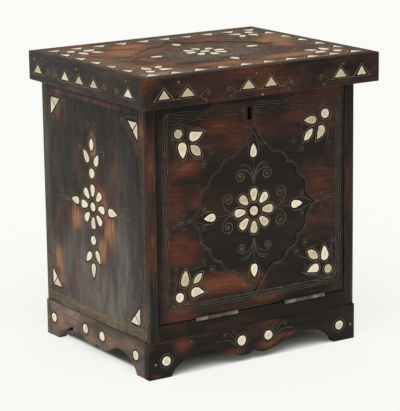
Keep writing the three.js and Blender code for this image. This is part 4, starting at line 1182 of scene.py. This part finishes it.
class CASKET_OT_lid(bpy.types.Operator):
    """Makes the lid's board and its three bands with their inlays and nails"""

    bl_idname = "casket.lid"
    bl_label = "Lid"

    SPOTS = ((-50, 75, 40, 20, 0.8), (-75, 40, 30, 30, 0.7), (100, 0, 20, 50, 0.7), (125, 30, 20, 30, 0.8),
             (60, -80, 50, 15, 0.7), (40, -108, 100, 8, 0.8), (-100, -20, 30, 40, -0.4), (0, 0, 70, 60, -0.8),
             (-50, -60, 30, 20, -0.8))
    # Where a pale painted sheen lies on the top, most of it near the front-left corner.
    DUST_AND_SHEEN_SPOTS = ((-125, -100, 60, 30, 0.6), (-125, -20, 30, 80, 0.3), (-100, 90, 50, 30, 0.25),
             (30, 100, 120, 12, 0.25), (0, 0, 90, 80, 0.25))
    # For the front band and for a side band: the triangles' places and bases in each row, their height, the
    # gap from the last one to the curls beside it, the room that the curls need, and the curls
    FRONT_ROWS = ((((-125.95, -97.65), (13, 16.5)), ((-22.45, 5.85), (16.5, 14.5)),
                   ((96.35, 124.65), (15.5, 11.5))), 9.2, 14.1, 16,
                  (((0, 0), 25, (11, 3.6), 3.2, -1), ((1, 0), -10, (8, -3.4), 1.8, 1, 0.9)))
    SIDE_ROWS = ((((-94,), (15.4,)), ((-24.7, 5.5, 35.7), (15.4,) * 3), ((95,), (15.4,))),
                 8.7, 13.3, 14, (((0, 0), 30, (10, 4.4), 3.6, -1),))
    FOOT = 9.8
    BORDER_TRIANGLE = (16.5, 9.2)
    FRONT_NAILS = ((-108.3, 318.7), (-12.3, 317.7), (100.2, 316.3), (-4.9, 294.9))
    SIDE_NAILS = ((102.6, 317), (11.2, 318.1), (-89.3, 318.4))

    def execute(self, context):
        self.top(context.scene.casket_wood)
        self.bands(context.scene.casket_wood)
        return {"FINISHED"}

    def top(self, looks):
        low, high = wood_box("lid_board", (3,))
        band_low, band_high = wood_box("lid_band_front", (-2,))
        middle, depth = (high[1] + band_low[1]) / 2, (high[1] - band_low[1]) / 2
        face = Face((0, middle * MM, high[2] * MM), *LEVEL)
        thickness = high[2] - wood_box("lid_lock_rail")[1][2]
        ground = (2, (high[2] - MEDALLION_DEPTH / 2) * MM, -1, 0.35)
        # The top's pale film over the wood is a painted sheen.
        material = wood("wood_lid", looks, (low, high), "x", 8, warmth=0.6, light=looks.orange,
                        spots=face.spots(self.SPOTS, 20), dust_and_sheen=0.12, dust_and_sheen_spots=face.spots(self.DUST_AND_SHEEN_SPOTS, 20),
                        dust_and_sheen_colour=looks.painted_sheen, wear_and_highlight=0.6, ground=ground, gloss=0.6, sheen=0.15)
        outline = rounded_rectangle(low[0], high[0], low[1] - middle, high[1] - middle)
        made = board_piece("lid_top", face, outline, thickness, material, "lid", "lid_board")
        sunk = prism(face, medallion(LID_SHIFT, 0, *LID_MEDALLION), -MEDALLION_DEPTH, 2)
        cut(made, [sunk, *hinge_rooms("lid")])

        half = (band_high - band_low)[0] / 2
        field = Field(face, 80, 0.1, 1.2, 0.6)
        sprays(field, -half, half, -depth, depth, LID_SPRAYS)
        self.border(field, half, depth)
        medallion_edge(field, LID_SHIFT, 0, LID_MEDALLION, ((0.5, 0.6), (2.5, 0.9), (4.5, 0.3)))
        field.make("lid_top", "lid")

        field = Field(face.sunk(MEDALLION_DEPTH), 81, 0.1, 1.3, 1.8)
        reach, rise = LID_DROPS
        places = ((reach, 0, 0), (0, rise, 90), (-reach, 0, 180), (0, -rise, 270))
        drops = [(LID_SHIFT + u, v, degrees) for u, v, degrees in places]
        medallion_ground(field, LID_SHIFT, 0, drops, LID_STEMS)
        field.make("lid_medallion", "lid")

    def border(self, field, half, depth):
        """A row of triangles along each edge, their tips inwards, with a zigzag over them, between double
        lines."""
        side, front, back = 12, 15, 21
        long_row, short_row = np.linspace(-129, 129, 10), np.linspace(-64.6, 64.6, 5)
        for degrees, places, reach in ((0, long_row, depth - front), (180, long_row, depth - back),
                                       (90, short_row, half - side), (270, short_row, half - side)):
            row = field.at(0, 0, degrees)
            for place in places:
                row.tablet(shape("triangle", *self.BORDER_TRIANGLE) + (place, -reach), ring=False)
            turns = np.arange(2 * len(places) - 1)
            along = places[0] + turns * (places[1] - places[0]) / 2
            zigzag = np.stack([along, np.where(turns % 2, -reach - 2.5, -reach + 12.8)], 1)
            for shift in (0, 1.6):
                row.wire(zigzag + (0, shift))
        for gap in (-4.5, -3, 15.5, 17):
            reach = half - side - gap
            line = rounded_rectangle(-reach, reach, front - depth + gap, depth - back - gap, 1.5)
            field.wire(line, closed=True)

    def bands(self, looks):
        for name, side in (("lid_band_front", -2), ("lid_band_left", -1), ("lid_band_right", 1)):
            face, low, high = face_of(name, side)
            front = side == -2
            width, thickness = (high - low)[:2][::1 if front else -1]
            outline = rounded_rectangle(-width / 2, width / 2, low[2], high[2])
            # The side bands get a faint grey film, partly dust and partly a painted sheen.
            faded = {"warmth": 0.2, "dust_and_sheen": 0.1, "light": looks.tan, "sheen": 0.2}
            look = {"warmth": 0.32} if front else faded
            grain = "x" if front else "y"
            material = wood(f"wood_{name}", looks, (low, high), grain, 14 + side, wear_and_highlight=0.35, **look)
            board_piece(f"{name}_board", face, outline, thickness, material, "lid", name)
            field = Field(face, 90 + side, *((0.95, 0.35) if front else (0.45, 0.8)), 0.8)
            turn = 1 if front else side
            rows = self.FRONT_ROWS if front else self.SIDE_ROWS
            self.rows(field, low[2] + self.FOOT, width / 2, turn, *rows)
            field.make(name, "lid")
            places = self.FRONT_NAILS if front else [(side * u, v) for u, v in self.SIDE_NAILS]
            nail_heads(f"{name}_nails", face, places, 1.3, "lid")

    def rows(self, field, foot, half, turn, rows, height, gap, room, curls):
        """Rows of triangles with a bent wire over each, one straight wire under each row, and curls at its
        ends where there is room."""
        for places, bases in rows:
            places = sorted(turn * place for place in places)
            reach = max(bases) / 2 + 3.2
            for place, base in zip(places, bases):
                field.tablet(shape("triangle", base, height) + (place, foot), ring=False)
                bent = [(place - reach, foot - 1.6), (place, foot + height + 3), (place + reach, foot - 1.6)]
                field.wire(bent, shine=field.shine + 0.4)
            line = foot - 1.8
            field.wire([(places[0] - reach - 2, line), (places[-1] + reach + 2, line)])
            for sign, start in ((-1, places[0] - gap), (1, places[-1] + gap)):
                for curl in curls if abs(start + sign * room) < half else ():
                    field.at(start, line).mirrored(sign, 1).curl(*curl)


class CASKET_OT_case_nails(bpy.types.Operator):
    """Puts the nail heads into the front apron"""

    bl_idname = "casket.case_nails"
    bl_label = "Nail heads"

    NAILS = ((-126.8, 16.5), (-81.7, 34.6), (129.2, 16.9))

    def execute(self, context):
        nail_heads("apron_nails", face_of("apron_front", -2)[0], self.NAILS, 1.2, "case")
        return {"FINISHED"}


class CASKET_OT_metalwork(bpy.types.Operator):
    """Gives the hinges and the lock their metal"""

    bl_idname = "casket.metalwork"
    bl_label = "Hinges and lock"

    def execute(self, context):
        for name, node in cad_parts.items():
            if name in ("lock_spring", "lock_keeper"):
                give(node, finishes()["brass"])
            elif name.endswith(("fall_leaf", "lid_leaf")):
                give(node, finishes()["bronze"])
            elif "hinge" in name or name.startswith("lock_"):
                give(node, finishes()["iron"])
        return {"FINISHED"}


class CASKET_OT_stage(bpy.types.Operator):
    """Sets the pale floor, the soft light and the camera"""

    bl_idname = "casket.stage"
    bl_label = "Floor, light and camera"

    CAMERA = {"place": (-1.1942, -1.82475, 0.6661), "azimuth": -33.099, "elevation": 13.261, "roll": -0.742,
              "lens": 177.36}
    KEY_DIRECTION = (0.35, 0.45, -1.0)
    KEY_ANGLE = 50
    FLOOR_REACH = 12000

    def execute(self, context):
        settings = context.scene.casket_stage
        self.floor(settings)
        self.lights(context.scene, settings)
        self.camera(context.scene)
        context.scene.view_settings.view_transform = "Standard"
        return {"FINISHED"}

    def floor(self, settings):
        """A large flat plate just under the feet. Under the casket the lamps light it, with a faint painted
        glow near its front and back edges. Round the casket, and from 13 mm inside the left apron, a painted
        glow in the backdrop's colour makes three quarters of what camera, glossy and transmission rays see,
        so that the floor is mostly as bright as the backdrop and the casket's shadow there is mostly painted
        out."""
        graph = Graph("floor")
        lit = graph.add("ShaderNodeBsdfDiffuse", {"Color": settings.floor})
        even = graph.add("ShaderNodeEmission", {"Color": settings.backdrop, "Strength": 1.0})
        camera, glossy, through_glass = (graph.add("ShaderNodeLightPath", out=f"Is {ray} Ray")
                                         for ray in ("Camera", "Glossy", "Transmission"))
        seen = graph.math("MAXIMUM", graph.math("MAXIMUM", camera, glossy), through_glass)
        corners = np.array([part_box(f"apron_{side}") for side in ("front", "back", "left", "right")])
        low, high = corners[:, 0].min(0), corners[:, 1].max(0)
        place = graph.object_place()
        # Painted glow: a faint one under the casket near its front and back edges, and a strong one round it,
        # from 13 mm inside the left apron.
        beyond = graph.vector("MAXIMUM", graph.vector("SUBTRACT", (low[0] + 13 * MM, low[1], 0), place),
                              graph.vector("SUBTRACT", place, (high[0], high[1], 0)))
        x, y, _ = graph.parts(beyond)
        inside = graph.span(y, -0.05, -0.002, 0.0, 0.09)
        across, along = graph.span(x, -0.004, 0.003, 0.0, 0.75), graph.span(y, -0.003, 0.001, 0.0, 0.75)
        beside = graph.math("MAXIMUM", across, along)
        share = seen * graph.math("MAXIMUM", inside, beside)
        surface = graph.add("ShaderNodeMixShader", {0: share, 1: lit, 2: even})
        graph.add("ShaderNodeOutputMaterial", {"Surface": surface})
        heap = Heap()
        plate = rounded_rectangle(*(-self.FLOOR_REACH, self.FLOOR_REACH) * 2, 100)
        heap.add(prism(Face((0, 0, 0), *LEVEL), plate, -20, 0))
        floor = heap.linked("floor")
        floor.data.materials.append(graph.material)

    def lights(self, scene, settings):
        scene.world = bpy.data.worlds.new("studio")
        scene.world.use_nodes = True
        background = scene.world.node_tree.nodes["Background"]
        background.inputs["Color"].default_value = (1.0, 1.0, 0.985, 1.0)
        background.inputs["Strength"].default_value = settings.sky
        lamp = bpy.data.lights.new("key", "SUN")
        lamp.energy = settings.key
        lamp.angle = math.radians(self.KEY_ANGLE)
        key = bpy.data.objects.new("key", lamp)
        key.rotation_euler = Vector(self.KEY_DIRECTION).to_track_quat("-Z", "Y").to_euler()
        scene.collection.objects.link(key)

    def camera(self, scene):
        """The viewpoint: turned by its azimuth and elevation, then rolled about the line of sight."""
        data = bpy.data.cameras.new("camera")
        data.lens = self.CAMERA["lens"]
        angles = ("azimuth", "elevation", "roll")
        azimuth, elevation, roll = (math.radians(self.CAMERA[angle]) for angle in angles)
        back = Vector((math.sin(azimuth) * math.cos(elevation), -math.cos(azimuth) * math.cos(elevation),
                       math.sin(elevation)))
        right = Vector((math.cos(azimuth), math.sin(azimuth), 0))
        up = back.cross(right)
        rolled_right = right * math.cos(roll) + up * math.sin(roll)
        rolled_up = up * math.cos(roll) - right * math.sin(roll)
        camera = bpy.data.objects.new("camera", data)
        turn = Matrix((rolled_right, rolled_up, back)).transposed().to_4x4()
        camera.matrix_world = Matrix.Translation(self.CAMERA["place"]) @ turn
        scene.collection.objects.link(camera)
        scene.camera = camera


OPERATORS = (
    CASKET_OT_stage,
    CASKET_OT_plain_boards,
    CASKET_OT_plinth,
    CASKET_OT_sides,
    CASKET_OT_fall,
    CASKET_OT_lid,
    CASKET_OT_case_nails,
    CASKET_OT_metalwork,
)
SETTINGS = {"casket_wood": CasketWood, "casket_inlay": CasketInlay, "casket_stage": CasketStage}


class CASKET_PT_panel(bpy.types.Panel):
    """Lists the casket's settings and steps"""

    bl_idname = "CASKET_PT_panel"
    bl_label = "Inlaid casket"
    bl_space_type = "VIEW_3D"
    bl_region_type = "UI"
    bl_category = "Casket"

    def draw(self, context):
        for key, group in SETTINGS.items():
            for name in group.__annotations__:
                self.layout.prop(getattr(context.scene, key), name)
        for operator in OPERATORS:
            self.layout.operator(operator.bl_idname)


def register():
    for item in (*SETTINGS.values(), *OPERATORS, CASKET_PT_panel):
        bpy.utils.register_class(item)
    for key, group in SETTINGS.items():
        setattr(bpy.types.Scene, key, PointerProperty(type=group))


def unregister():
    for key in SETTINGS:
        delattr(bpy.types.Scene, key)
    for item in (CASKET_PT_panel, *OPERATORS, *SETTINGS.values()):
        bpy.utils.unregister_class(item)


def main():
    register()
    for operator in OPERATORS:
        area, name = operator.bl_idname.split(".")
        getattr(getattr(bpy.ops, area), name)()


if __name__ == "__main__":
    main()
